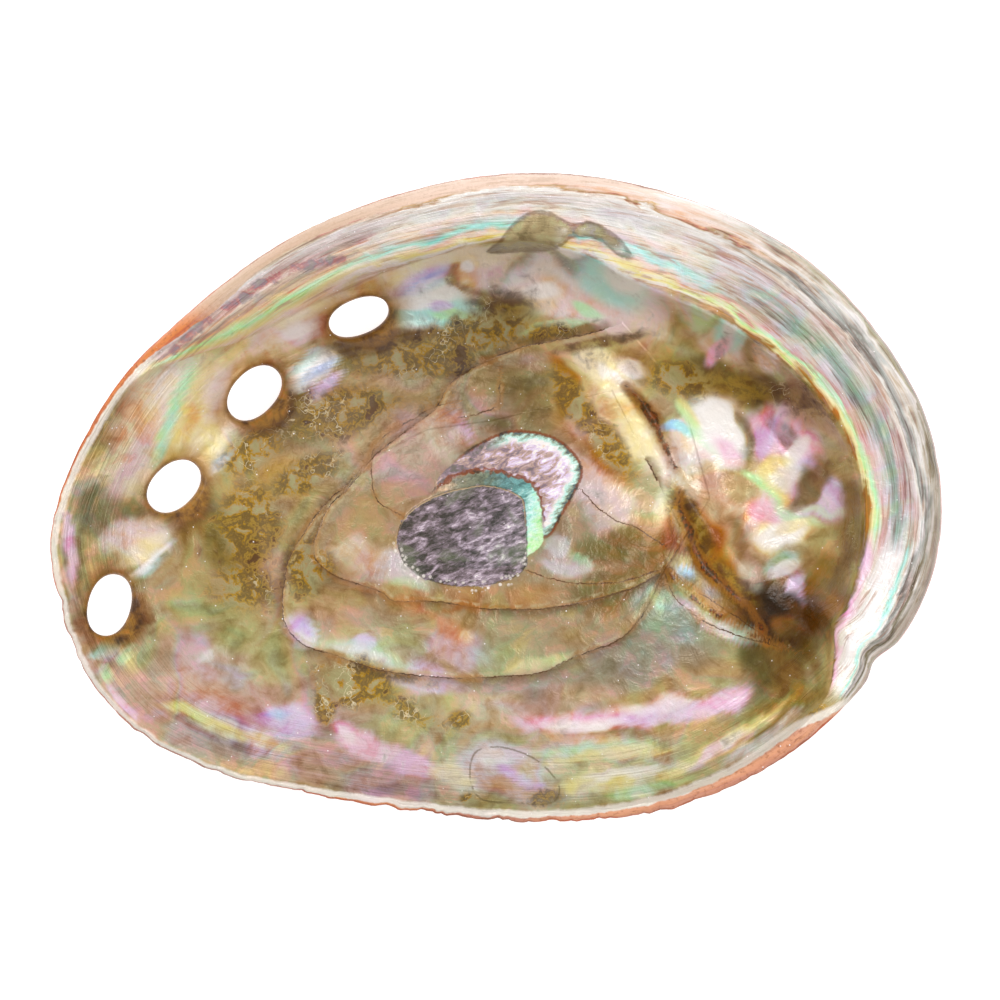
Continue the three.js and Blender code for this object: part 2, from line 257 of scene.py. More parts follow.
def distance_to(line, x, y, closed=False):
    """Distance in plan from each place to a line of points."""
    return np.sqrt(nearest_part(line, x, y, closed)[0])


def side_of(line, x, y):
    """Distance in plan to a line of points, positive on its left."""
    nearest, side = nearest_part(line, x, y)
    return side * np.sqrt(nearest)


def corner_sums(grid):
    """Sum of the four values round each cell."""
    return grid[:-1, :-1] + grid[1:, :-1] + grid[:-1, 1:] + grid[1:, 1:]


def inside(line, x, y):
    """Whether each place is inside a closed line of points."""
    crossings = np.zeros(x.shape, bool)
    for (ax, ay), (bx, by) in zip(line, np.roll(line, -1, axis=0)):
        if ay != by:
            crossings ^= ((ay > y) != (by > y)) & (x < (bx - ax) * (y - ay) / (by - ay) + ax)
    return crossings


def depth_in(line, x, y):
    """Distance to a closed line's edge, positive inside it."""
    return np.where(inside(line, x, y), 1, -1) * distance_to(line, x, y, closed=True)


def own_axes(x, y, middle_x, middle_y, along, across, turn=0):
    """Places in a feature's own axes, in its half sizes, with the long axis turned."""
    cos, sin = math.cos(math.radians(turn)), math.sin(math.radians(turn))
    right, up = x - middle_x, y - middle_y
    return (right * cos + up * sin) / along, (up * cos - right * sin) / across


def in_plan(u, v, middle_x, middle_y, along, across, turn=0):
    """Places in plan of places in a feature's own axes."""
    cos, sin = math.cos(math.radians(turn)), math.sin(math.radians(turn))
    return middle_x + u * along * cos - v * across * sin, middle_y + u * along * sin + v * across * cos


def spreads_from(x, y, *feature):
    """Distance from a feature's middle, in its half sizes."""
    return np.hypot(*own_axes(x, y, *feature))


class SoftNoise:
    """Repeatable value noise in plan, from 0 to 1."""

    CELLS = 64

    def __init__(self, seed):
        self.lattice = np.random.default_rng(seed).random((self.CELLS, self.CELLS))

    def __call__(self, x, y, size):
        right, up = x / size, y / size
        column, row = np.floor(right).astype(int), np.floor(up).astype(int)
        across, along = smoothstep(right - column, 0, 1), smoothstep(up - row, 0, 1)

        def corner(i, j):
            return self.lattice[(column + i) % self.CELLS, (row + j) % self.CELLS]

        near, far = (lerp(corner(0, j), corner(1, j), across) for j in (0, 1))
        return lerp(near, far, along)


# ---------------------------------------------------------------- the wall as two height fields
OUTLINE_LINE = smooth_line(OUTLINE, closed=True)


def polar(x, y, middle):
    """Angle and distance of places seen from a middle."""
    right, up = x - middle[0], y - middle[1]
    return np.arctan2(up, right), np.hypot(right, up)


def outline_radius(middle):
    """A function of the angle: how far the outline is from a middle."""
    angles, radii = polar(OUTLINE_LINE[:, 0], OUTLINE_LINE[:, 1], middle)
    return lambda angle: np.interp(angle, angles, radii, period=2 * math.pi)


def along_rim(angle, radius):
    """The angle seen from the origin of the rim's place at an angle from the rest point."""
    return np.arctan2(REST_POINT[1] + radius * np.sin(angle), REST_POINT[0] + radius * np.cos(angle))


radius_at = outline_radius(REST_POINT)
rim_height_at = around(RIM_HEIGHTS)
face_width_at = around(FACE_WIDTHS)
bowl_width_at = around(BOWL_WIDTHS)
steepness_at = around(STEEPNESS)
ROW_LINE = smooth_line(ROW_PATH)


class Place:
    """Places in plan, with their share of the way to the outline and what the rim is like there."""

    def __init__(self, x, y):
        self.x, self.y = x, y
        self.angle, distance = polar(x, y, REST_POINT)
        self.radius = radius_at(self.angle)
        self.reach = np.minimum(distance / self.radius, 1)
        self.from_outline = (1 - self.reach) * self.radius
        self.on_rim = along_rim(self.angle, self.radius)
        self.width = face_width_at(self.on_rim)
        self.shelf = smoothstep(self.width, LIP_THICKNESS, FULL_SHELF_WIDTH)
        self.rim, self.steep = rim_height_at(self.on_rim), steepness_at(self.on_rim)

    def below_rim(self, fall):
        """Height of a line that lies below the rim."""
        return self.rim - fall[0] - fall[1] * self.shelf


def bumps(x, y, places, height, spread):
    """Heights of one round bump at each place of a table."""
    return [height * bell(spreads_from(x, y, px, py, spread, spread)) for px, py, *_ in places]


def wall_push(x, y):
    """How far the spire and the row of holes push the whole wall down."""
    spire, = bumps(x, y, [SPIRE], *SPIRE[2:])
    return spire + ROW_RIDGE[0] * bell(distance_to(ROW_LINE, x, y) / ROW_RIDGE[1])


def back_height(place):
    """Height of the back, with the spire, the ridge under the holes, their collars and the knobs."""
    x, y, reach, steep = place.x, place.y, place.reach, place.steep
    round_side = 1 - np.sqrt(np.maximum(0, 1 - reach**2.6))
    rise = lerp(reach ** (2 + 0.65 * steep), round_side, 0.25 * steep)
    raised = bumps(x, y, OPEN_HOLES, *HOLE_COLLAR) + bumps(x, y, SEALED_KNOBS, *KNOB)
    relief = wall_push(x, y) + np.max(raised, axis=0)
    return place.below_rim(OUTLINE_FALL) * rise - (1 - smoothstep(reach, 0.9, 1)) * relief


def face_height(place, back):
    """Height of the pearly face: the rounded rim, the shelf and the bowl with its soft relief."""
    x, y, width, shelf = place.x, place.y, place.width, place.shelf
    inset = RIM_ROUNDING[0] + RIM_ROUNDING[1] * shelf
    edge_height = place.below_rim(SHELF_FALL)
    rounding = np.sqrt(np.maximum(0, 1 - (1 - np.minimum(1, place.from_outline / inset)) ** 2))
    crest = lerp(place.below_rim(OUTLINE_FALL), place.rim, rounding)
    across = np.clip((place.from_outline - inset) / (width - inset), 0, 1)
    shelf_face = lerp(place.rim, edge_height, across**1.4)
    near_rim = smoothstep(place.reach, 0.5, 1 - width / place.radius)
    bowl_radius = place.radius - lerp(bowl_width_at(place.on_rim), width, near_rim)
    within = np.minimum(1, place.reach * place.radius / bowl_radius)
    steepened = 1 - np.sqrt(np.maximum(0, 1 - within**2.9))
    rise = lerp(within**2.1, steepened, np.maximum(place.steep, shelf * near_rim))
    fade = 1 - smoothstep(within, 0.88, 1)
    relief = SCAR_SWELL * np.clip(2.2 - 2 * spreads_from(x, y, *SCAR_PLACE), 0, 1)
    relief = relief + sum(height * bell(spreads_from(x, y, mx, my, *form))
                          for mx, my, height, *form in SWELLS)
    for depth, half_width, path in FURROWS:
        relief = relief - depth * bell(distance_to(smooth_line(path, steps=5), x, y) / half_width)
    bowl = lerp(FLOOR_THICKNESS, edge_height, rise) + fade * (relief - wall_push(x, y))
    bowl = np.maximum(bowl, back + LEAST_WALL)
    on_shelf = np.where(place.from_outline < width, shelf_face, bowl)
    face = np.where(place.from_outline < inset, crest, on_shelf)
    lumps = sum(height * smoothstep(depth_in(smooth_line(edge, closed=True, steps=4), x, y), -0.3, softness)
                for height, softness, edge in LUMPS)
    return face + lumps


# ---------------------------------------------------------------- the grid
def ring_places():
    """Square grid to round grid: whole rings stay whole, so the rim's lines follow the outline."""
    steps = np.arange(-RINGS, RINGS + 1)
    i, j = np.meshgrid(steps, steps)
    ring = np.maximum(abs(i), abs(j))
    wide = abs(i) >= abs(j)
    with np.errstate(divide="ignore", invalid="ignore"):
        sideways = (j / i) * (math.pi / 4) + np.where(i < 0, math.pi, 0)
        upwards = math.pi / 2 - (i / j) * (math.pi / 4) + np.where(j < 0, math.pi, 0)
    angle = np.where(ring == 0, 0, np.where(wide, sideways, upwards))
    radius = radius_at(angle)
    width = face_width_at(along_rim(angle, radius))
    bowl_rings = RINGS - FACE_RINGS
    share = np.clip((ring - bowl_rings) / FACE_RINGS, 0, 1)
    inwards = width * (1 - share) ** RIM_CROWDING
    reach = np.where(ring <= bowl_rings, ring / bowl_rings * (1 - width / radius), 1 - inwards / radius)
    x = REST_POINT[0] + reach * radius * np.cos(angle)
    y = REST_POINT[1] + reach * radius * np.sin(angle)
    return x, y


def widened(hole, more):
    """A breathing hole with its edge moved out."""
    middle_x, middle_y, length, width, turn = hole
    return middle_x, middle_y, length + more, width + more, turn


def squared_loop(u, v):
    """A loop of places round a middle, brought evenly onto a rounded square in its own axes."""
    even = np.arange(len(u)) * 2 * math.pi / len(u)
    wobble = np.unwrap(np.arctan2(v, u)) - even
    for _ in range(EDGE_PASSES):
        wobble = (wobble + np.roll(wobble, 1) + np.roll(wobble, -1)) / 3
    cos, sin = np.cos(even + wobble), np.sin(even + wobble)
    reach = (abs(cos) ** SQUARENESS + abs(sin) ** SQUARENESS) ** (-1 / SQUARENESS)
    return cos * reach, sin * reach


def open_holes(x, y):
    """Moves the grid round each breathing hole onto its edge. Returns the cells that are left out."""
    centre_x, centre_y = corner_sums(x) / 4, corner_sums(y) / 4
    mouths = [widened(hole, FUNNEL_WIDTH) for hole in OPEN_HOLES]
    gone = np.zeros(centre_x.shape, int)
    for number, mouth in enumerate(mouths, 1):
        gone[spreads_from(centre_x, centre_y, *mouth) < 1] = number
    for number, mouth in enumerate(mouths, 1):
        part = tuple(slice(line.min() - MARGIN, line.max() + MARGIN + 2)
                     for line in np.nonzero(gone == number))
        u, v = own_axes(x[part], y[part], *mouth)
        cells = gone[part][:-1, :-1]
        free = corner_sums(np.pad(cells, 1)) == 0
        free[[0, -1], :] = free[:, [0, -1]] = False
        loop = edge_loop(np.arange(u.size).reshape(u.shape), cells == number)
        u.flat[loop], v.flat[loop] = squared_loop(u.ravel()[loop], v.ravel()[loop])
        for _ in range(GRID_PASSES):
            for field in (u, v):
                mean = field.copy()
                rows, columns = field[:, 1:-1], field[1:-1]
                mean[1:-1, 1:-1] = (rows[:-2] + rows[2:] + columns[:, :-2] + columns[:, 2:]) / 4
                field[free] = lerp(field, mean, 0.5)[free]
        x[part], y[part] = in_plan(u, v, *mouth)
    return gone


def hole_clearance(x, y):
    """Distance from the nearest breathing hole's narrowest edge, negative inside it."""
    return np.min([(spreads_from(x, y, *hole) - 1) * min(hole[2:4]) for hole in OPEN_HOLES], axis=0)


def horn_clearance(x, y):
    """The same, lessened on the side of each hole where its horny rim is broadest."""
    right, up, spread, width = HORN_LEAN
    lean = [bell(np.hypot(x - hx - right, y - hy - up) / spread) for hx, hy, *_ in OPEN_HOLES]
    return hole_clearance(x, y) - width * np.max(lean, axis=0)


def shell_arrays():
    """Places in plan, heights, faces, and which faces and which points are on the back."""
    x, y = ring_places()
    gone = open_holes(x, y)
    side = x.shape[0]
    count = side * side
    flat_x, flat_y = x.ravel(), y.ravel()
    place = Place(flat_x, flat_y)
    back = back_height(place)
    face = face_height(place, back)
    lowest = back.min() + REST_WEAR
    face, back = face - lowest, np.maximum(0, back - lowest)
    numbers = np.arange(count).reshape(side, side)
    outline = np.zeros((side, side), bool)
    outline[[0, -1], :] = outline[:, [0, -1]] = True
    below = np.where(outline.ravel(), numbers.ravel(), numbers.ravel() + count)
    kept = gone == 0
    a, b = numbers[:-1, :-1][kept], numbers[:-1, 1:][kept]
    c, d = numbers[1:, 1:][kept], numbers[1:, :-1][kept]
    top_faces = np.stack([a, b, c, d], 1)
    back_faces = below[np.stack([a, d, c, b], 1)]

    places, heights = [(flat_x, flat_x), (flat_y, flat_y)], [face, back]
    wall_faces = []
    total = 2 * count
    for number, hole in enumerate(OPEN_HOLES, 1):
        loop = edge_loop(numbers, gone == number)
        u, v = own_axes(flat_x[loop], flat_y[loop], *widened(hole, FUNNEL_WIDTH))
        rows = [loop]
        for out, drop, rise in FUNNEL_ROWS:
            places = [(*line, row) for line, row in zip(places, in_plan(u, v, *widened(hole, out)))]
            heights.append(face[loop] - drop if rise is None else back[loop] + rise)
            rows.append(total + np.arange(len(loop)))
            total += len(loop)
        rows.append(loop + count)
        for upper, lower in zip(rows, rows[1:]):
            wall_faces.append(np.stack([upper, np.roll(upper, -1), np.roll(lower, -1), lower], 1))
    faces = np.vstack([top_faces, *wall_faces, back_faces])
    back_faces_only = np.arange(len(faces)) >= len(faces) - len(back_faces)
    back_points = np.concatenate([np.zeros(count), np.ones(count), np.zeros(total - 2 * count)])
    return (*map(np.concatenate, places), np.concatenate(heights), faces, back_faces_only, back_points)


def ragged(x, y):
    """The same places with the thin lip's edge nibbled inwards."""
    place = Place(x, y)
    arc = np.degrees(place.on_rim) % 360
    chips = sum(SoftNoise(SEED + seed)(arc * 1.2, np.zeros(x.shape), size) * share
                for seed, size, share in CHIP_LAYERS)
    lip = smoothstep(arc, *LIP_START) * (1 - smoothstep(arc, *LIP_END))
    depth = chips**2 * (LIP_CHIPS[0] + LIP_CHIPS[1] * lip) * (1 - smoothstep(place.from_outline, 0, 4))
    shrink = 1 - depth / np.maximum(1, polar(x, y, REST_POINT)[1])
    return REST_POINT[0] + (x - REST_POINT[0]) * shrink, REST_POINT[1] + (y - REST_POINT[1]) * shrink


def edge_loop(numbers, cells):
    """Vertices round a patch of left-out cells, in order, with the patch on the left."""
    following = {}
    rows, columns = np.nonzero(cells)
    for j, i in zip(rows, columns):
        corners = [numbers[j, i], numbers[j, i + 1], numbers[j + 1, i + 1], numbers[j + 1, i]]
        neighbours = [cells[j - 1, i], cells[j, i + 1], cells[j + 1, i], cells[j, i - 1]]
        for start, end, neighbour in zip(corners, corners[1:] + corners[:1], neighbours):
            if not neighbour:
                following[start] = end
    first = next(iter(following))
    loop = [first]
    while following[loop[-1]] != first:
        loop.append(following[loop[-1]])
    return np.array(loop)


# ---------------------------------------------------------------- what lies where on the pearly face
# Soft washes, painted in this order: colour, middle, half length, half width, turn, strength. Some dark ones
# are painted shade, as marked below.
WASHES = (
    # the lower left plain and the bottom
    ("mauve", -55, -42, 34, 12, -15, 1), ("sage", -54, -27, 15, 6, -24, 0.95),
    ("putty", -50, -32, 12, 4, -20, 0.6), ("mauve", -66, -34, 9, 6, 0, 0.8),
    ("rose", -58, -41, 12, 3.4, -18, 0.6), ("lilac", -46, -49, 14, 4.4, -14, 0.5),
    ("violet", -56, -49, 9, 2.4, -20, 0.4), ("mauve", -24, -54, 24, 6, -10, 0.95),
    ("mauve", -22, -58, 10, 2, -8, 0.7), ("violet", -20, -57.6, 7, 1.6, -8, 0.6),
    ("sage", -16, -40, 14, 5, -18, 0.9), ("putty", -12, -48, 12, 5, -26, 0.9),
    ("putty", 0, -42, 10, 6, 0, 0.9), ("dun", 18, -34, 22, 6, 2, 1), ("slate", 26, -34, 18, 5, 2, 0.75),
    ("mauve", 14, -38, 14, 2, 0, 0.5), ("dun", 36, -27, 14, 9, -30, 1), ("slate", 34, -30, 14, 7, 0, 0.7),
    ("teal", 36, -24, 9, 6, -40, 0.8), ("lilac", -14, -35, 11, 3.4, -16, 0.6),
    ("lilac", 10, -42, 12, 3, 0, 0.25), ("slate", 2, -37, 12, 3, -4, 0.5), ("rose", 26, -44, 24, 3, 3, 0.9),
    ("oyster", 14, -55, 24, 7, 6, 1), ("putty", 26, -53, 22, 4, 12, 0.8), ("straw", 20, -57, 12, 1.6, 8, 0.5),
    ("dun", 52, -44, 14, 4, 36, 0.9), ("bark", 57, -42, 12, 3, 40, 0.8), ("oyster", 0, -56, 12, 6, -10, 0.9),
    # painted shadow in the corner under the lower right wall, beside the wall's brown
    ("shadow", 52.6, -34, 5.4, 8.5, 10, 1), ("bark", 60, -34, 6, 12, 14, 0.9),
    ("dun", 63, -38, 2.6, 6, 20, 0.6), ("olive", 58, -43.4, 12, 1.6, 36, 0.7),
    # left side
    ("sand", -76, 11, 20, 8, 62, 1), ("fawn", -80.4, 11, 16, 2, 60, 0.8),
    ("ochre", -79, 16, 12, 1.4, 58, 0.5), ("slate", -81, -1, 7, 3.6, 70, 0.8),
    ("dun", -84, -8, 12, 4, 86, 0.8), ("umber", -86.6, -16, 9, 1.2, 96, 0.4),
    ("shadow", -79, -2, 5, 2, 70, 0.6), ("bone", -63, 15, 16, 10, 62, 1), ("cream", -64, 12, 10, 7, 62, 0.6),
    ("bone", -71, -9, 6, 4, 30, 0.75), ("shadow", -76.4, -3, 5, 5, 0, 0.55),
    ("mauve", -85, -12, 10, 3, 96, 1), ("umber", -82.4, -14, 8, 1.4, 97, 0.5),
    ("fawn", -84, -26, 8, 3, -60, 0.8), ("mauve", -80, -34, 6, 4, -40, 0.7),
    ("umber", -79, -33, 3.6, 1.6, -30, 0.6), ("sage", -72, -31, 4, 4, 0, 0.8),
    ("slate", -59, -5, 6, 4, 50, 0.7), ("lilac", -60, -4, 4, 2, 50, 0.5), ("dun", -61, -12, 11, 11, 0, 1),
    ("bark", -60, -7, 7, 9, 0, 0.85), ("sage", -60, -12, 3, 5, 20, 0.5), ("bark", -66, -9, 3, 5, -30, 0.4),
    # between the shelf and the holes
    ("sand", -47, 33, 19, 7, 34, 1), ("blush", -40, 35, 8, 3, 34, 0.8), ("sand", -26, 44, 20, 4.4, 18, 1),
    ("cream", -38, 39, 13, 3.4, 28, 1), ("peach", -56, 27, 10, 3, 45, 0.6), ("pearl", -14, 40, 12, 7, 8, 1),
    ("cream", -10, 47.6, 19, 5, 8, 1), ("peach", -28, 45, 9, 2, 20, 0.7), ("blush", -46, 33, 7, 2.4, 36, 0.7),
    # under the holes
    ("bark", -38, 17, 13, 7, 30, 1), ("bark", -44, 14, 7, 5, 30, 0.9), ("umber", -43, 15, 5, 3, 30, 0.45),
    ("ochre", -42, 4, 12, 6, 26, 0.9), ("bark", -50, -8, 9, 10, 0, 0.9), ("fawn", -28, 22, 10, 5, 30, 0.7),
    ("bark", -20, 29, 18, 5, 0, 0.9), ("sage", -12, 29, 9, 2.6, -6, 0.6), ("dun", -42, -9, 5, 12, 10, 0.9),
    # the bark at 0, 37 and the umber below it: partly stain, partly painted shade on the wall under the top
    # shelf
    ("mauve", -44, -14, 3, 9, 6, 0.8), ("fawn", -26, 13, 12, 3, 42, 0.8), ("bark", 0, 37, 8, 4.4, 0, 0.9),
    ("umber", 0, 39.4, 5, 2.6, 0, 0.7), ("dun", 2, 31, 8, 3, 0, 0.7),
    # top middle
    ("bark", -8.4, 44.6, 2.6, 2.6, 10, 0.7), ("rust", -5, 42.6, 5, 1, 6, 0.5), ("bark", 6, 46, 3, 3, 0, 0.7),
    ("sand", 2, 49.4, 6, 2, 0, 0.7), ("bark", 14, 33.4, 13, 1.8, 6, 0.7), ("mint", 13, 35, 9, 1, 6, 0.5),
    ("bone", 14, 42, 14, 5.4, -10, 1), ("pearl", 25, 43.4, 11, 6, -34, 1),
    ("oyster", 38, 40, 10, 4.4, -30, 1), ("blush", 27, 35, 9, 5, -24, 0.8),
    ("fawn", 32, 38.4, 6, 2, -20, 0.4), ("blush", 47, 31.6, 6, 4, -40, 0.8),
    ("bark", 45, 36, 1.4, 4, -30, 0.5), ("bark", 53, 31, 1.6, 3, 20, 0.5),
    # the bark at 48, 24 and the next line's umber and bark: partly stain, partly painted shade under the top
    # shelf's overhang
    ("ochre", 32, 29, 9, 3.4, -20, 0.6), ("bark", 48, 24, 16, 4.4, -14, 0.9),
    ("umber", 56, 22.4, 5, 3, 0, 0.8), ("bark", 63, 22, 5, 5, -40, 0.8),
    # the middle layers
    ("fawn", -8, 6, 30, 20, 0, 0.7), ("dun", -31, -1, 8, 10, 20, 1), ("fawn", -28, -13, 12, 5, -18, 0.9),
    ("blush", -30, -11.6, 8, 2.6, -14, 0.7), ("mauve", -15, 9, 11, 8.6, 34, 1),
    ("blush", -10, 14, 6, 2.4, -60, 0.4), ("mauve", 0, 19, 6, 4, 0, 0.7), ("bark", 2, 15.4, 4, 2.4, 0, 0.7),
    ("bark", 7, 23, 6, 7, 30, 0.55), ("mauve", 7, 26, 5, 3, 0, 0.5), ("tan", -2, -19.6, 22, 2.6, 0, 0.8),
    ("amber", -4, -21, 12, 1, -2, 0.6), ("blush", 20, 2, 11, 6, -52, 1), ("blush", 18.6, 6, 4, 5, 0, 0.8),
    ("bone", 14, -13, 6, 3, -10, 0.8), ("dun", 24, -10, 9, 5, -8, 1), ("fawn", 15, -10, 6, 4, 0, 0.7),
    ("bark", 25, -11, 10, 5, -10, 0.8), ("dun", 24, -20, 14, 6, 10, 1), ("bark", 24, -19, 12, 4, 6, 0.8),
    ("bark", 28, -12, 7, 5, 0, 0.8), ("bark", -37, -15, 5, 6, 0, 0.8), ("fawn", -30, -24, 9, 4, -24, 0.8),
    ("bone", -38.6, -26, 4.4, 3.6, -30, 0.9), ("putty", -25, -30, 13, 4, -16, 1),
    ("tan", -12, -26, 8, 4, -24, 0.8), ("sage", 6, -31, 14, 4, 0, 0.7), ("lilac", -8, -29, 9, 4, -16, 0.35),
    ("lilac", -56, -34, 9, 5, -20, 0.25), ("dun", 12, -27, 14, 5, 4, 0.9),
    ("teal", 32.6, -21.8, 4.4, 6, -50, 1), ("slate", 28, -30, 12, 5, 10, 0.6),
    # the cream ridge, the hollow and the wall on the right
    ("sand", 24, 20, 14, 7, -52, 1), ("cream", 22, 25.6, 6, 4, -36, 0.9),
    ("cream", 30, 13, 8, 3.4, -64, 0.75), ("tan", 17, 17, 12, 5, -54, 0.9),
    ("amber", 15.6, 20, 10, 3, -54, 1), ("amber", 22, 10, 8, 3, -56, 0.9),
    ("amber", 27, 19.6, 6, 1, -56, 0.6), ("blush", 40, 8, 6, 9, -60, 0.9), ("pearl", 46, 13.4, 7, 8, 0, 1),
    ("rose", 46, -2, 9, 5.4, -63, 0.9), ("fawn", 44, 2, 6, 4, -60, 0.7), ("fawn", 48, -6, 9, 4, -63, 0.7),
    ("pink", 58, 12, 8, 7, -30, 1), ("pink", 63, 8, 6, 5, 45, 1), ("blush", 57.6, 3, 7, 5.6, 0, 1),
    ("blush", 57, -5, 8, 5, -20, 1), ("cream", 59, -8.6, 7.4, 5, 20, 1),
    ("mauve", 53, -16.6, 5.4, 4.4, -40, 0.9), ("fawn", 63, -14, 4, 5, 0, 0.8),
    ("mauve", 67, 14, 4, 5, 30, 0.6), ("lilac", 65, 1, 5, 9, 30, 0.9), ("pink", 66, 9, 3.4, 5, 30, 0.7),
    # the bark and umber along the right wall under the shelf: partly its brown band, partly painted shade of
    # the overhang
    ("mint", 66, -3, 4, 1.4, -30, 0.5), ("bark", 70.6, -6, 2.4, 12, -3, 1), ("bark", 67.6, -19, 4, 8, 12, 1),
    ("umber", 65, -26, 4, 6, 10, 0.5), ("umber", 70.6, -17, 1.7, 9, 8, 0.6),
    # brown rays in the hollow: painted shade in the grooves between its folds
    ("bark", 51.3, 12, 6, 1.7, 87, 0.8), ("bark", 65.6, 3.4, 8, 2.4, 46, 0.9),
    ("bark", 49.6, -9.6, 5, 2, -68, 0.6), ("amber", 40, -5.6, 11, 5.6, -66, 1),
    ("rust", 41, -7, 9, 3.6, -66, 0.8), ("amber", 47.8, -17.4, 9, 4.4, -43, 0.95),
    ("rust", 49.6, -18.6, 7, 2.4, -43, 0.8), ("bark", 36.6, -11, 7, 4.4, -60, 1),
    ("rust", 37, -8, 6, 2.4, -64, 0.6), ("bark", 33, -14, 8, 4, -50, 0.9),
    ("rust", 40, -12, 8, 2.6, -62, 0.8), ("bark", 47, -23, 9, 4, -32, 0.8), ("umber", 58, -23, 11, 10, 10, 1),
    # the pit by the spire: ink as painted shade deep in its hollow, over its umber and rust
    ("ink", 57, -23.6, 8, 7, 10, 0.8), ("rust", 57, -24, 4.4, 4, 10, 0.35),
)
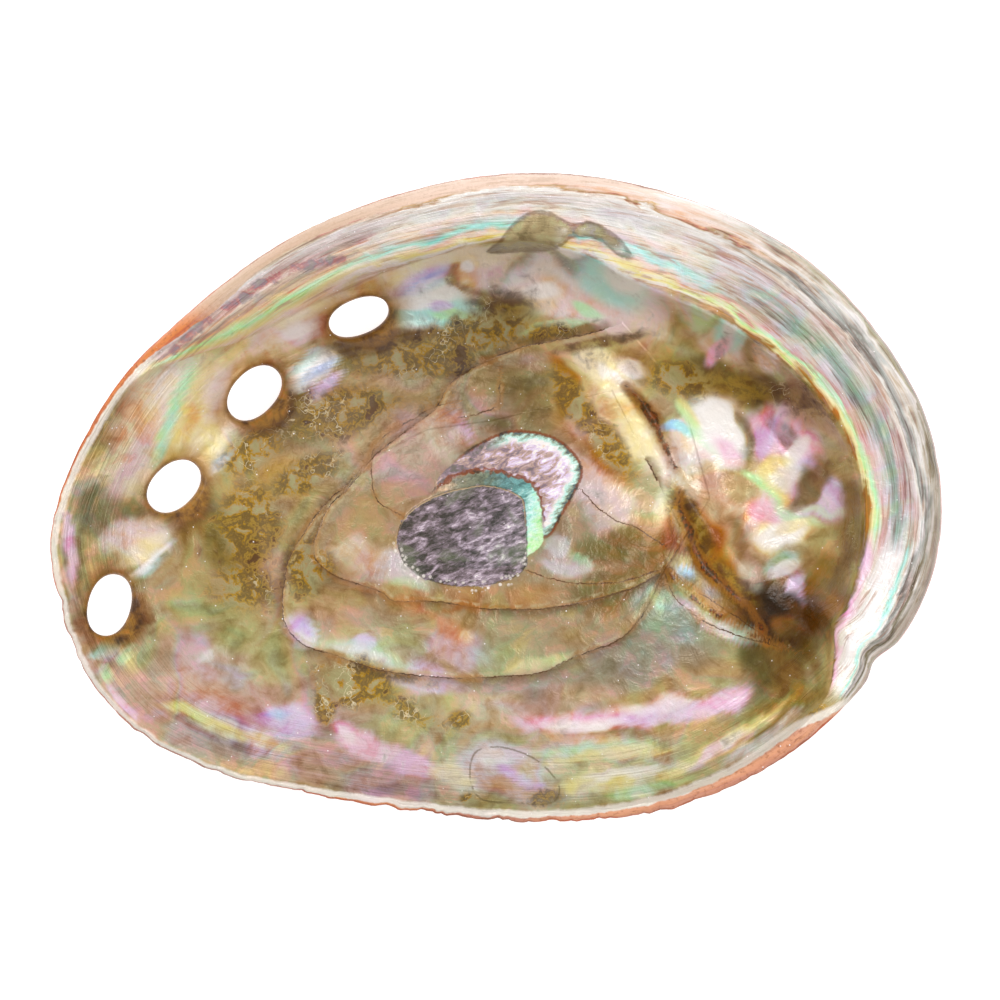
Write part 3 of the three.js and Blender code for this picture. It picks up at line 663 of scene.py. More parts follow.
# Bright facets with firmer edges, painted over the washes: partly the nacre's own colours, partly painted
# highlights and reflections of its sheen
FACETS_AND_HIGHLIGHTS = (
    ("cream", -63, 13.6, 12, 7, 64, 0.9), ("straw", -62.6, 15, 9, 2, 70, 0.9),
    ("mint", -65.3, 16.6, 9.5, 1.1, 68, 1), ("aqua", -66.6, 12.4, 5, 0.6, 68, 0.7),
    ("straw", -60.6, 11.4, 3.4, 3, 0, 0.5), ("peach", -60.6, 19, 7, 0.8, 76, 0.7),
    ("blush", -57.4, 21.6, 5, 1.9, 80, 1), ("pearl", -56.6, 21, 3.6, 0.7, 80, 0.8),
    ("blush", -69.6, 14.6, 4.4, 1.4, 70, 0.9), ("rose", -73.4, 7, 6.4, 2.4, 70, 0.9),
    ("cream", -72, 4.4, 3.4, 1.4, 70, 0.9), ("pink", -85, -9.6, 6, 1.3, 95, 0.9),
    ("blush", -73.4, -6.6, 5, 2.4, 30, 0.95), ("cream", -71.4, -10.2, 4.6, 2, 34, 0.9),
    ("pearl", -69.4, -12.8, 4, 0.9, 48, 1), ("aqua", -68.4, -13.6, 3, 0.4, 48, 0.9),
    ("sky", -55.4, 8, 2.6, 1, 42, 0.9), ("pearl", -56, 7.2, 2.4, 0.6, 42, 1),
    ("aqua", -79.4, -30, 3.4, 1.2, 35, 1), ("pearl", -78.6, -30.8, 2.6, 0.5, 35, 1),
    ("mint", -75, -30.4, 2.4, 0.9, 62, 0.8), ("mint", -78.6, -36.2, 1.8, 0.9, -50, 1),
    ("pink", -75.6, -41, 3, 1, -48, 0.8), ("pearl", -58.2, -32.2, 1.5, 0.5, 48, 1),
    ("rose", -39, 34.4, 5.6, 1.7, 42, 1), ("pearl", -40, 34.6, 3.6, 0.8, 42, 0.8),
    ("pearl", -37.4, 26.4, 5.4, 2.2, 42, 1), ("sky", -36, 26.6, 4.4, 0.7, 42, 0.9),
    ("aqua", -39.4, 27.6, 4, 0.6, 42, 0.9), ("lilac", -34, 23.6, 3.6, 1.2, 42, 0.9),
    ("lilac", -15.4, 43.4, 6, 2.4, 28, 1), ("sky", -14.6, 43.8, 4.6, 0.6, 28, 0.9),
    ("pearl", -16, 42, 5, 0.5, 28, 1), ("aqua", -13.4, 42, 4.6, 0.5, 26, 0.9),
    ("aqua", -12, 37.6, 9, 3.4, -2, 1), ("pearl", -15, 40, 7, 1.6, 8, 0.9),
    ("mint", -7.4, 36.4, 4.4, 1.4, -14, 0.9), ("lilac", -10.6, 38.6, 2, 0.8, 0, 0.9),
    ("blush", -2.8, 46.3, 4.8, 2.4, 16, 1), ("cream", -5, 49, 8, 1.3, 6, 0.9),
    ("pearl", -5.6, 46.9, 1.5, 0.9, 20, 1), ("mauve", 1, 46.4, 1.6, 2, 0, 0.7),
    ("blush", 14, 40.4, 9.2, 3, -14, 1), ("pearl", 9, 41.6, 3.4, 1.6, -8, 0.8),
    # the grey bump below the mound: pearl is its painted highlight, slate its painted shade
    ("mint", 18.6, 38, 3, 1, -24, 0.8), ("slate", 17.4, 48.6, 4.8, 2.5, -10, 1),
    ("pearl", 14.8, 50, 2.6, 1.2, 0, 1), ("bone", 18.4, 50.6, 3, 0.8, -8, 0.9),
    ("aqua", 23.6, 43.6, 7, 3.8, -35, 1), ("pearl", 25.4, 44, 4.6, 2.2, -35, 0.9),
    ("lilac", 30.6, 43.4, 5, 1.8, -30, 1), ("pearl", 31.4, 45.4, 3.4, 0.8, -34, 1),
    ("pink", 33.6, 42, 3, 1, -30, 0.8), ("rose", 38, 40.4, 5.6, 3, -30, 0.7),
    ("mint", 42, 38.4, 3.6, 2.8, -60, 0.7), ("bone", 42.6, 39.4, 2.2, 1.4, -60, 0.7),
    ("aqua", 49, 35, 2.8, 4.2, -14, 1), ("pearl", 49, 36, 1.5, 2.2, -10, 0.8),
    ("pink", 46.4, 30, 3.6, 1.5, 52, 1), ("blush", 55.4, 28.4, 3, 1.5, -50, 0.9),
    ("cream", 23, 25.6, 5.4, 3.2, -30, 1), ("pearl", 23.6, 25, 2.6, 1.4, -30, 0.7),
    ("cream", 31.6, 12.6, 6.4, 1.9, -64, 0.6), ("cream", 28, 14, 5.4, 1.9, -60, 0.6),
    ("cream", 24.6, 22, 3, 2, -30, 0.9), ("bone", 28, 27.4, 3, 1.4, -20, 0.8),
    ("sky", 37.4, 13.4, 3.2, 1, -8, 1), ("aqua", 39, 13, 2, 0.8, -20, 0.8),
    ("straw", 40, 17, 3.6, 0.8, -55, 0.8), ("mint", 41.6, 13, 6, 0.7, -58, 0.8),
    ("pearl", 46.8, 11.6, 4.6, 3.8, -80, 0.9), ("pink", 47.6, 8.6, 3.4, 2, -40, 0.6),
    ("pearl", 46, 14.6, 3.6, 1.6, -20, 0.8), ("pink", 56, 14, 3.4, 2.6, 0, 0.65),
    ("violet", 59.8, 12.6, 4.4, 1.8, -52, 0.75), ("lilac", 55, 11, 2, 3.4, 0, 0.8),
    ("pearl", 62.4, 8.6, 3.4, 1.6, 50, 0.8), ("straw", 57, 5.4, 4, 2, 20, 0.7),
    ("bone", 58.6, 3, 4, 2, 30, 0.8), ("mint", 54.6, 1.8, 4.4, 0.9, -40, 1),
    ("straw", 56.4, 1.8, 3.6, 0.7, -40, 0.8), ("pink", 55.4, -3.4, 3.6, 2, -20, 0.9),
    ("mint", 61.6, -4.2, 5.4, 0.5, -24, 0.9), ("aqua", 60.6, -3.2, 4.6, 0.35, -24, 0.8),
    ("pearl", 58.6, -8.6, 4.6, 2.4, 20, 0.9), ("cream", 61, -6.4, 3, 1.4, 30, 0.9),
    ("aqua", 59, -13.4, 3.4, 0.5, 20, 0.9), ("pearl", 59.8, -14.4, 3, 0.8, 20, 0.9),
    ("lilac", 62, -18.2, 3.4, 1.4, 80, 0.9), ("oyster", 53, -16, 3, 2, -40, 0.5),
    # the pit by the spire: ink as painted shade in its hollow round the brown ball, umber at its edges
    ("ink", 57.6, -21.8, 5.6, 2.2, 22, 1), ("ink", 54, -25.2, 4.6, 1.9, 72, 1),
    ("umber", 62.4, -23.6, 3.4, 1.6, -60, 0.9), ("bark", 58.8, -26.6, 2.4, 2, 0, 0.5),
    ("umber", 60.8, -28, 2.4, 1.6, 30, 0.7), ("sage", 37.4, -13.4, 2, 1.6, 0, 0.8),
    ("olive", 39.4, -19.4, 3.8, 1.4, -38, 1), ("gold", 41, -20.6, 2.4, 0.8, -38, 0.8),
    ("slate", 44, -19.2, 2.2, 1, -40, 0.8), ("sky", 38.4, -15.8, 1.9, 0.8, -30, 0.9),
    ("slate", 38.8, -17, 2.6, 0.7, -36, 0.8), ("mint", 41.6, -22.8, 6, 0.6, -38, 0.9),
    ("pink", 44, -25.2, 7, 0.6, -32, 0.8), ("aqua", 49, -27.2, 4.6, 0.5, -28, 0.8),
    ("bone", 37.2, 4.4, 0.8, 1.8, 0, 1), ("oyster", 40, 5, 3, 3.6, 0, 0.6), ("mint", 35, 1.4, 1.6, 1, 0, 0.8),
    ("cream", 33.8, -0.6, 2, 3, 0, 0.6), ("teal", 33, -21.4, 3.4, 2, -50, 0.9),
    ("mint", 32, -21, 2, 1, -50, 0.5), ("straw", -60, -44.4, 7, 0.8, -20, 0.9),
    ("mint", -62, -43.6, 4, 0.4, -20, 0.7), ("straw", -50, -48.6, 9, 0.6, -14, 0.8),
    ("lilac", -41.6, -45.6, 4.4, 2.8, 0, 0.9), ("sky", -43, -44.6, 2, 1, 0, 0.6),
    ("pink", -27.4, -48.6, 5, 2, -24, 1), ("pearl", -29.4, -47.6, 2.4, 0.8, -20, 0.7),
    ("pink", -18, -52.6, 6, 1.8, -24, 0.8), ("cream", -9, -55.6, 4.6, 1.8, -20, 0.8),
    ("oyster", 3, -54.6, 6, 3.4, -20, 0.9), ("bone", 0, -53.4, 3, 1.6, -20, 0.8),
    ("lilac", 7, -57.4, 5, 1, -22, 0.8), ("pink", 18, -45.2, 11, 1.8, 2, 0.75),
    ("pearl", 20, -45.6, 10, 0.8, 2, 1), ("lilac", 36, -43.6, 11, 1.7, 6, 0.75),
    ("pearl", 34, -42.2, 9, 0.5, 6, 0.8), ("pink", 46, -42, 5, 2, 24, 0.9),
    ("mint", 20, -50.4, 10, 0.6, 2, 0.8), ("straw", 24, -51.6, 12, 0.8, 6, 0.8),
    ("blush", 16, -48.6, 8, 0.8, -4, 0.8), ("straw", 20, -58, 8, 1.4, 6, 0.6),
    ("pearl", 26, -55.4, 8, 0.7, 10, 0.9), ("mint", 30, -58.4, 8, 0.6, 12, 0.8),
    ("straw", 40, -53, 8, 0.7, 24, 0.8), ("pink", 46, -50.4, 7, 0.8, 30, 0.8),
    ("bone", 54, -48.6, 8, 0.6, 36, 0.8), ("straw", 52, -46, 7, 0.7, 34, 0.7),
    ("lilac", -39.4, -26, 2.8, 2.6, 0, 1), ("bone", -38.6, -27.6, 2, 1, -30, 0.8),
    ("lilac", -26.4, -29.6, 2, 1.5, 0, 0.9), ("mint", -26, -31.6, 9, 1.7, -16, 0.4),
    ("bone", -27, -31.8, 6, 0.9, -16, 0.6), ("salmon", -9.4, -26.2, 5.4, 1.2, -31, 0.6),
    ("cream", -6.4, -27.2, 1.8, 0.7, -31, 0.8), ("salmon", -16.4, -22.4, 3.6, 0.8, -14, 0.5),
    ("straw", 9, -33, 5, 1, 8, 0.4), ("bone", -19, -15, 6, 3, -24, 0.55),
    ("mint", -17.4, -18.4, 3, 1, -10, 0.5), ("pink", -6.6, 13.6, 3.4, 0.9, -66, 0.7),
    ("blush", -12, 11, 6, 1.4, -60, 0.5), ("blush", 22, 1.4, 5.4, 2.4, -52, 0.6),
    ("bone", 12.8, -9.4, 2.4, 2, 0, 0.8), ("mint", 17.6, -12.4, 2.4, 0.8, -40, 0.6),
    ("rose", 18.4, 14.6, 3, 2, -30, 0.7),
)
# Stains that the shader breaks up: middle, half length, half width, turn, strength
GOLD_STAINS = (
    (-38.6, 4.8, 7, 3, 28, 1), (-50, 9, 7, 4, 30, 0.8), (-50, -5, 6, 8, 0, 0.95), (-51, -18, 7, 5, 0, 0.7),
    (-30, 18, 12, 5, 10, 0.75), (-16, 28.4, 13, 4, 0, 0.85), (-3, 34, 10, 4, 8, 0.9),
    (-28.8, -37.4, 8, 4.6, -8, 1), (-34.4, -42, 2, 5, 10, 0.85), (-17, -43.6, 11, 2.4, -24, 0.6),
    (-24, -35, 14, 1.4, -14, 0.6), (-7, -45, 2.4, 1.8, 0, 0.85), (-5, -60.8, 2, 1.4, 0, 0.95),
    (12, -48, 5, 3, 0, 0.35), (-38, -14, 5, 6, 0, 0.85), (-24, 46.4, 10, 0.9, 18, 0.6),
    (27, 28, 8, 4, -10, 0.35), (16, 20, 3, 8, 32, 0.85), (38, 24, 8, 4, -10, 0.7), (66, 18, 5, 4, -20, 0.5),
    (-12, 20, 6, 3, 40, 0.5), (-79, 14, 10, 1.2, 58, 0.5), (62, -45, 10, 2, 38, 0.6),
    (39.4, -5, 8, 3, -68, 0.8), (10, -60, 5, 2, 0, 0.6), (8, 34, 9, 2, 0, 0.6), (23.4, 10.4, 7, 3, -52, 0.95),
)
UMBER_STAINS = (
    # The umber at 1, 38.6, at 49, 22.6 and at 62, 19 is partly stain and partly painted shade on the wall
    # under the top shelf
    (-25, 31.5, 11, 2.4, 12, 0.85), (1, 38.6, 9, 4, 8, 0.75), (-9, 44.6, 2, 2, 0, 0.7),
    (9, 45.5, 4, 2, 0, 0.4), (49, 22.6, 14, 3.4, -12, 0.75), (62, 19, 7, 4, -40, 0.6),
    (31, 27, 7, 3, -20, 0.3), (68, 6, 8, 1.6, 60, 0.5), (29.6, 19.6, 4.4, 1.5, -48, 0.9),
    (40.8, -6.6, 9, 3.4, -67, 0.85), (48, -17.6, 8, 3, -43, 0.95), (57, -30, 5, 1, 10, 0.6),
    (40, -19, 4, 1.2, -38, 0.5), (-41, 19, 4, 4, 0, 0.55), (-56, -12, 6, 2, -20, 0.5),
    (22, 32, 12, 1.4, 10, 0.7), (72, -12, 3, 12, 4, 0.45), (46, 30, 1.4, 5, -15, 0.5), (53, 31, 2, 3, 0, 0.6),
)
OUTER_LAYER_WIDTHS = (
    (0, -1), (40, -1), (55, 0), (66, 1.2), (82, 2.8), (100, 3.4), (120, 3.2), (135, 2.8), (146, 4.4),
    (153, 3.6), (160, 1.6), (172, 1), (182, 0.5), (200, 0), (225, 0), (245, 0.7), (262, 0.8), (280, 1.2),
    (295, 2), (310, 2.7), (322, 3), (327, 1), (333, -1), (345, -1),
)
BRICK_SHARES = (
    (0, 0), (60, 0), (130, 0.05), (146, 0.15), (152, 1), (170, 1), (200, 0.8), (240, 1), (275, 0.75),
    (300, 0.7), (320, 0.7), (340, 0.3),
)


THINNEST = 0.95  # a facet thinner than the grid can hold is widened and made fainter
# Each table with the spreads at which a patch starts and ends, and how far its edge wanders
PAINTED = ((WASHES, 0.55, 1.15, 1), (FACETS_AND_HIGHLIGHTS, 0.75, 1.5, 0.55))
STAIN_REACH = 1.5
COARSE_WANDER, FINE_WANDER = (5, 9), (2.2, 3.1)  # how far, and over what size
# Painted shade: the darkest share of full brightness that the bowl's floor is painted at
FLOOR_SHADE = 0.58


def paint(x, y, colours):
    """The washes and the facets with their painted highlights laid over each other, with edges that wander.
    """
    noises = [SoftNoise(SEED + n) for n in range(4)]
    sway_x, sway_y = (
        sum(amount * (noise(x, y, size) - 0.5) for noise, (amount, size) in
            zip(pair, (COARSE_WANDER, FINE_WANDER)))
        for pair in (noises[:2], noises[2:]))
    coat = np.tile(colours["greige"], (len(x), 1))
    for table, near, far, wander in PAINTED:
        place_x, place_y = x + wander * sway_x, y + wander * sway_y
        for name, mx, my, along, across, turn, strength in table:
            wide = max(across, THINNEST)
            spreads = spreads_from(place_x, place_y, mx, my, along, wide, turn)
            share = strength * across / wide * (1 - smoothstep(spreads, near, far))
            coat = lerp(coat, colours[name], share[:, None])
    return coat


def floor_shade(place):
    """Painted shade: the bowl's floor and its low side are painted darker than the rest."""
    light = np.maximum(smoothstep(place.reach, 0.2, 0.9), smoothstep(place.x + 0.6 * place.y, 16, 36))
    far_left = smoothstep(-place.x - place.y, 50, 90)
    bottom = smoothstep(-place.y, 40, 54) * smoothstep(place.x, -50, -15)
    return lerp(FLOOR_SHADE, 1, light) * (1 - 0.16 * far_left - 0.2 * bottom)


def stain_depth(x, y, stains):
    """How far inside the nearest stain each place is, as a share of its strength."""
    return np.max([strength * np.clip(STAIN_REACH - spreads_from(x, y, *form), 0, 1)
                   for *form, strength in stains], axis=0)


def growth_age(x, y):
    """Share of full size at which the growing edge passed each place on the back, and its angle."""
    radius_from_spire = outline_radius(SPIRE)
    angle, reach = polar(x, y, SPIRE)
    share = np.full(x.shape, 0.5)
    for _ in range(AGE_PASSES):
        turned = angle + TURN_WITH_AGE * np.log(np.maximum(share, 0.02))
        share = lerp(share, reach / radius_from_spire(turned), 0.7)
    return share, angle


def surface_fields(x, y, is_back, colours):
    """Everything that the finishes and the fine relief look up, by name."""
    place = Place(x, y)
    age, spire_angle = growth_age(x, y)
    flow_angle = np.where(is_back, spire_angle, place.angle)
    flow = np.stack([AROUND_REACH * np.cos(flow_angle), AROUND_REACH * np.sin(flow_angle),
                     np.where(is_back, FULL_GROWTH * age, place.from_outline)], 1)
    beds = {name: depth_in(smooth_line(line, closed=True, steps=6), x, y) for name, line in
            (("scar", SCAR_BED), ("teal", TEAL_BED), ("lobe", LOBE_BED), ("blister", BLISTER))}
    leaves = np.array([side_of(smooth_line(line, steps=6), x, y) for line in LEAF_EDGES])
    nearest_leaf = np.take_along_axis(leaves, np.argmin(abs(leaves), axis=0)[None], axis=0)[0]
    outer = np.vstack([smooth_line(OUTER_BED, steps=6), OUTER_BED_CLOSING])
    inner = np.vstack([smooth_line(INNER_BED, steps=6), INNER_BED_CLOSING])
    furrow = np.min([distance_to(smooth_line(path, steps=5), x, y) / half_width
                     for _, half_width, path in FURROWS], axis=0)
    return {
        "marks": np.stack([depth_in(smooth_line(MOUND_BED, closed=True, steps=6), x, y), furrow,
                           distance_to(smooth_line(STRIPE, steps=5), x, y)], 1),
        # The tint's alpha is the painted shade of the bowl's floor
        "tint": np.hstack([paint(x, y, colours), floor_shade(place)[:, None]]),
        "stain": np.stack([stain_depth(x, y, GOLD_STAINS), stain_depth(x, y, UMBER_STAINS),
                           horn_clearance(x, y)], 1),
        "beds": np.stack([beds["scar"], beds["teal"], beds["lobe"]], 1),
        "leaves": np.stack([nearest_leaf, depth_in(outer, x, y), depth_in(inner, x, y)], 1),
        "rim": np.stack([place.from_outline, place.from_outline / place.width, place.shelf], 1),
        "outer": np.stack([around(OUTER_LAYER_WIDTHS)(place.on_rim) - place.from_outline,
                           around(BRICK_SHARES)(place.on_rim), beds["blister"]], 1),
        "flow": flow,
    }


# ---------------------------------------------------------------- node graphs written as expressions
def math_node(operation, backwards=False):
    """A method that adds a Math node for its value and another one or a number."""
    def method(self, other):
        first, second = (other, self) if backwards else (self, other)
        return self.graph.node("ShaderNodeMath", {"operation": operation}, {0: first, 1: second})
    return method


class Value:
    """A node's output. Arithmetic on it adds Math nodes to its graph."""

    def __init__(self, graph, socket):
        self.graph, self.socket = graph, socket

    __add__, __radd__ = math_node("ADD"), math_node("ADD", backwards=True)
    __sub__, __rsub__ = math_node("SUBTRACT"), math_node("SUBTRACT", backwards=True)
    __mul__, __rmul__ = math_node("MULTIPLY"), math_node("MULTIPLY", backwards=True)
    __rtruediv__ = math_node("DIVIDE", backwards=True)
    least, most = math_node("MINIMUM"), math_node("MAXIMUM")
    absolute, fraction = math_node("ABSOLUTE"), math_node("FRACT")

    def size(self):
        return self.absolute(0)

    def sway(self, amount):
        """A noise's value about 0 instead of a half, times an amount."""
        return (self - 0.5) * amount

    def part_of_turn(self):
        return self.fraction(0)


class Graph:
    """A node tree: one method adds any node, and the others say what is most often wanted of it."""

    def __init__(self, tree, palette=None):
        self.tree, self.palette = tree, palette

    def node(self, kind, settings=None, inputs=None, out=0):
        made = self.tree.nodes.new(kind)
        for name, value in (settings or {}).items():
            if name == "stops":
                self._set_stops(made.color_ramp, value)
            else:
                setattr(made, name, value)
        for name, value in (inputs or {}).items():
            if isinstance(value, Value):
                self.tree.links.new(value.socket, made.inputs[name])
            else:
                made.inputs[name].default_value = value
        return Value(self, made.outputs[out]) if made.outputs else made

    def _set_stops(self, ramp, stops):
        while len(ramp.elements) < len(stops):
            ramp.elements.new(0.5)
        for element, (position, colour) in zip(ramp.elements, stops.items()):
            element.position = position
            element.color = self.rgba(colour)

    def rgba(self, colour):
        """A node's output as it is; a colour, or one of the palette's by name, with its alpha."""
        if isinstance(colour, Value):
            return colour
        return (*(self.palette[colour] if isinstance(colour, str) else colour), 1)

    def noise(self, vector, scale=1.0, detail=3.0, roughness=0.55, distortion=0.0):
        return self.node("ShaderNodeTexNoise", None, {
            "Vector": vector, "Scale": scale, "Detail": detail, "Roughness": roughness,
            "Distortion": distortion})

    def cells(self, vector, scale, feature="F1"):
        """Distance to the nearest cell's point or edge."""
        inputs = {"Vector": vector, "Scale": scale}
        return self.node("ShaderNodeTexVoronoi", {"feature": feature}, inputs, "Distance")

    def stretched(self, vector, scales):
        return self.node("ShaderNodeVectorMath", {"operation": "MULTIPLY"}, {0: vector, 1: scales})

    def scaled(self, vector, scale):
        return self.node("ShaderNodeVectorMath", {"operation": "SCALE"}, {0: vector, 3: scale})

    def moved(self, vector, offset):
        return self.node("ShaderNodeVectorMath", {"operation": "ADD"}, {0: vector, 1: offset})

    def turned(self, vector, degrees, scales):
        return self.node("ShaderNodeMapping", {"vector_type": "TEXTURE"}, {
            "Vector": vector, "Rotation": (0, 0, math.radians(degrees)),
            "Scale": tuple(1 / scale for scale in scales)})

    def step(self, value, low, high):
        return self.node("ShaderNodeMapRange", {"interpolation_type": "SMOOTHSTEP"}, {
            "Value": value, "From Min": low, "From Max": high})

    def fall(self, value, low, high):
        """From 1 to 0, gently, as the value goes from low to high."""
        return 1 - self.step(value, low, high)

    def near(self, value, low, high):
        """The same with the value's size: 1 near a line, 0 away from it."""
        return self.fall(value.size(), low, high)

    def between(self, value, low, high):
        """From low to high as the value goes from 0 to 1."""
        return self.node("ShaderNodeMapRange", None, {"Value": value, "To Min": low, "To Max": high})

    def mix(self, first, second, share, blend="MIX"):
        settings = {"data_type": "RGBA", "blend_type": blend, "clamp_factor": True}
        return self.node(
            "ShaderNodeMix", settings, {0: share, 6: self.rgba(first), 7: self.rgba(second)}, out=2)

    def ramp(self, value, stops):
        return self.node("ShaderNodeValToRGB", {"stops": stops}, {0: value})

    def parts(self, vector):
        separate = self.node("ShaderNodeSeparateXYZ", None, {0: vector})
        return [Value(self, output) for output in separate.socket.node.outputs]

    def attribute(self, name, out="Vector"):
        return self.node("ShaderNodeAttribute", {"attribute_name": name}, out=out)

    def millimetres(self):
        """Place on the piece, in millimetres."""
        return self.stretched(self.node("ShaderNodeTexCoord", out="Object"), PER_MM)


class Coat:
    """A colour that others are laid over, each by its share."""

    def __init__(self, graph, colour):
        self.graph, self.colour = graph, graph.rgba(colour)

    def lay(self, colour, share, blend="MIX"):
        self.colour = self.graph.mix(self.colour, colour, share, blend)


def linear(code):
    """A six-digit colour code as linear red, green and blue."""
    shares = [int(code[n:n + 2], 16) / 255 for n in (0, 2, 4)]
    return tuple(s / 12.92 if s < 0.04045 else ((s + 0.055) / 1.055) ** 2.4 for s in shares)


# The finishes' colours, as six-digit codes
PALETTE = {
    "greige": "b09a70", "tan": "c09664", "cream": "f4e4c0", "pearl": "fbf6f4", "blush": "eed2c2",
    "rose": "dcb6ac", "pink": "f2c2d8", "lilac": "dcc8ea", "violet": "8a7686", "mauve": "bc9e92",
    "sky": "accaf4", "aqua": "bcece2", "teal": "90a08a", "mint": "c6f0b8",
    "straw": "f0e2a0", "peach": "e8bc8c", "salmon": "dea07a", "amber": "ac6c20", "gold": "b08416",
    "olive": "80682c", "moss": "7e6f4a", "rust": "7c3a0c", "umber": "50300a", "shadow": "60522e",
    "slate": "8e8880", "ink": "2c1c10", "orange": "d1762c", "brick": "b04c22", "bone": "ece4dc",
    "oyster": "d4c8c2", "sand": "d8bc94", "dun": "a8946c", "sage": "aaa478", "fawn": "b89a7c",
    "ochre": "a48438", "bark": "80642e", "putty": "bcae88",
}


def colour_property(name, code):
    """One of the palette's colours as a property."""
    return bpy.props.FloatVectorProperty(
        name=name.capitalize(), description=f"The {name} of the shell's finish", subtype="COLOR",
        size=3, min=0, max=1, default=linear(code))


class ShellColours(bpy.types.PropertyGroup):
    """The colours that the shell's finishes are mixed from."""

    __annotations__ = {name: colour_property(name, code) for name, code in PALETTE.items()}


class ShellRelief(bpy.types.PropertyGroup):
    """Sizes of the fine relief that covers the shell."""

    rib_height: bpy.props.FloatProperty(
        name="Rib height", description="Height of the growth ribs on the back",
        default=0.0018, min=0, max=0.004, subtype="DISTANCE", unit="LENGTH", precision=4)
    rib_spacing: bpy.props.FloatProperty(
        name="Rib spacing", description="Distance between growth ribs near the edge",
        default=0.004, min=0.001, max=0.02, subtype="DISTANCE", unit="LENGTH", precision=4)
    ripple_height: bpy.props.FloatProperty(
        name="Ripple height", description="Height of the ripples in the pearly face",
        default=0.0007, min=0, max=0.003, subtype="DISTANCE", unit="LENGTH", precision=4)
    scar_roughness: bpy.props.FloatProperty(
        name="Scar roughness", description="Height of the pits and ridges in the muscle scar",
        default=0.0007, min=0, max=0.003, subtype="DISTANCE", unit="LENGTH", precision=4)
    seed: bpy.props.IntProperty(name="Seed", description="Seed of the relief", default=3, min=0)


class ShellStudio(bpy.types.PropertyGroup):
    """The floor, lights and camera round the shell."""

    floor_size: bpy.props.FloatProperty(
        name="Floor size", description="Side of the square floor",
        default=4, min=1, subtype="DISTANCE", unit="LENGTH")
    frame_width: bpy.props.FloatProperty(
        name="Frame width", description="Width that the camera sees at the height of the rim",
        default=0.2, min=0.05, subtype="DISTANCE", unit="LENGTH")
    camera_height: bpy.props.FloatProperty(
        name="Camera height", description="Distance from the rim up to the camera",
        default=1.6, min=0.3, subtype="DISTANCE", unit="LENGTH")
    key_power: bpy.props.FloatProperty(
        name="Key power", description="Power of the large soft light", default=16.5, min=0, unit="POWER")


# ---------------------------------------------------------------- finishes
def new_material(name, palette=None):
    """An empty material and its graph."""
    material = bpy.data.materials.new(name)
    material.use_nodes = True
    material.node_tree.nodes.clear()
    return material, Graph(material.node_tree, palette)


def finish(graph, varying, fixed):
    """Adds the shader, with linked values in one dictionary and constant ones in the other."""
    shader = graph.node("ShaderNodeBsdfPrincipled", None, {**varying, **fixed})
    graph.node("ShaderNodeOutputMaterial", None, {"Surface": shader})


# Colours laid over the wash, in linear shares: a half leaves it as it is
FIRE = {
    0: (0.25, 0.19, 0.12), 0.26: (0.4, 0.39, 0.34), 0.45: (0.5, 0.51, 0.5), 0.6: (0.52, 0.6, 0.6),
    0.78: (0.7, 0.62, 0.7), 1: (0.92, 0.9, 0.88),
}
RAINBOW = {
    0: (0.62, 0.45, 0.54), 0.17: (0.52, 0.47, 0.68), 0.33: (0.42, 0.58, 0.64), 0.48: (0.45, 0.6, 0.46),
    0.64: (0.58, 0.56, 0.36), 0.82: (0.63, 0.49, 0.38), 1: (0.62, 0.45, 0.54),
}
GROWTH_LINES = {
    0: (0.13, 0.1, 0.1), 0.25: (0.37, 0.36, 0.38), 0.5: (0.41, 0.46, 0.47), 0.62: (0.45, 0.54, 0.57),
    0.8: (0.53, 0.5, 0.56), 1: (0.66, 0.68, 0.72),
}
# The shelf's bands, from the outline to the bowl
TOP_BANDS = {
    0.02: "bone", 0.17: "blush", 0.21: "tan", 0.24: "bone", 0.4: "oyster", 0.52: "bone", 0.6: "blush",
    0.66: "oyster", 0.73: "aqua", 0.8: "blush", 0.87: "straw", 0.93: "bone", 0.98: "tan", 1.03: "sand",
}
LEFT_BANDS = {
    0.05: "blush", 0.16: "fawn", 0.24: "oyster", 0.36: "mauve", 0.46: "blush", 0.56: "mauve",
    0.64: "peach", 0.74: "mint", 0.84: "straw", 0.92: "blush", 1: "sand",
}
RIGHT_BANDS = {
    0: "moss", 0.08: "dun", 0.14: "bone", 0.24: "slate", 0.3: "bone", 0.38: "mauve", 0.46: "oyster",
    0.58: "teal", 0.7: "oyster", 0.8: "rose", 0.87: "mint", 0.93: "straw", 0.98: "amber",
}
LOW_BANDS = {
    0: "umber", 0.08: "fawn", 0.14: "bone", 0.2: "moss", 0.24: "oyster", 0.3: "slate", 0.34: "bone",
    0.4: "aqua", 0.46: "bone", 0.6: "pearl", 0.8: "bone", 0.93: "pink", 1: "bark",
}
HIDDEN = 9  # moves a layer edge out of reach where the layer runs on unseen
SATURATION = 1.07


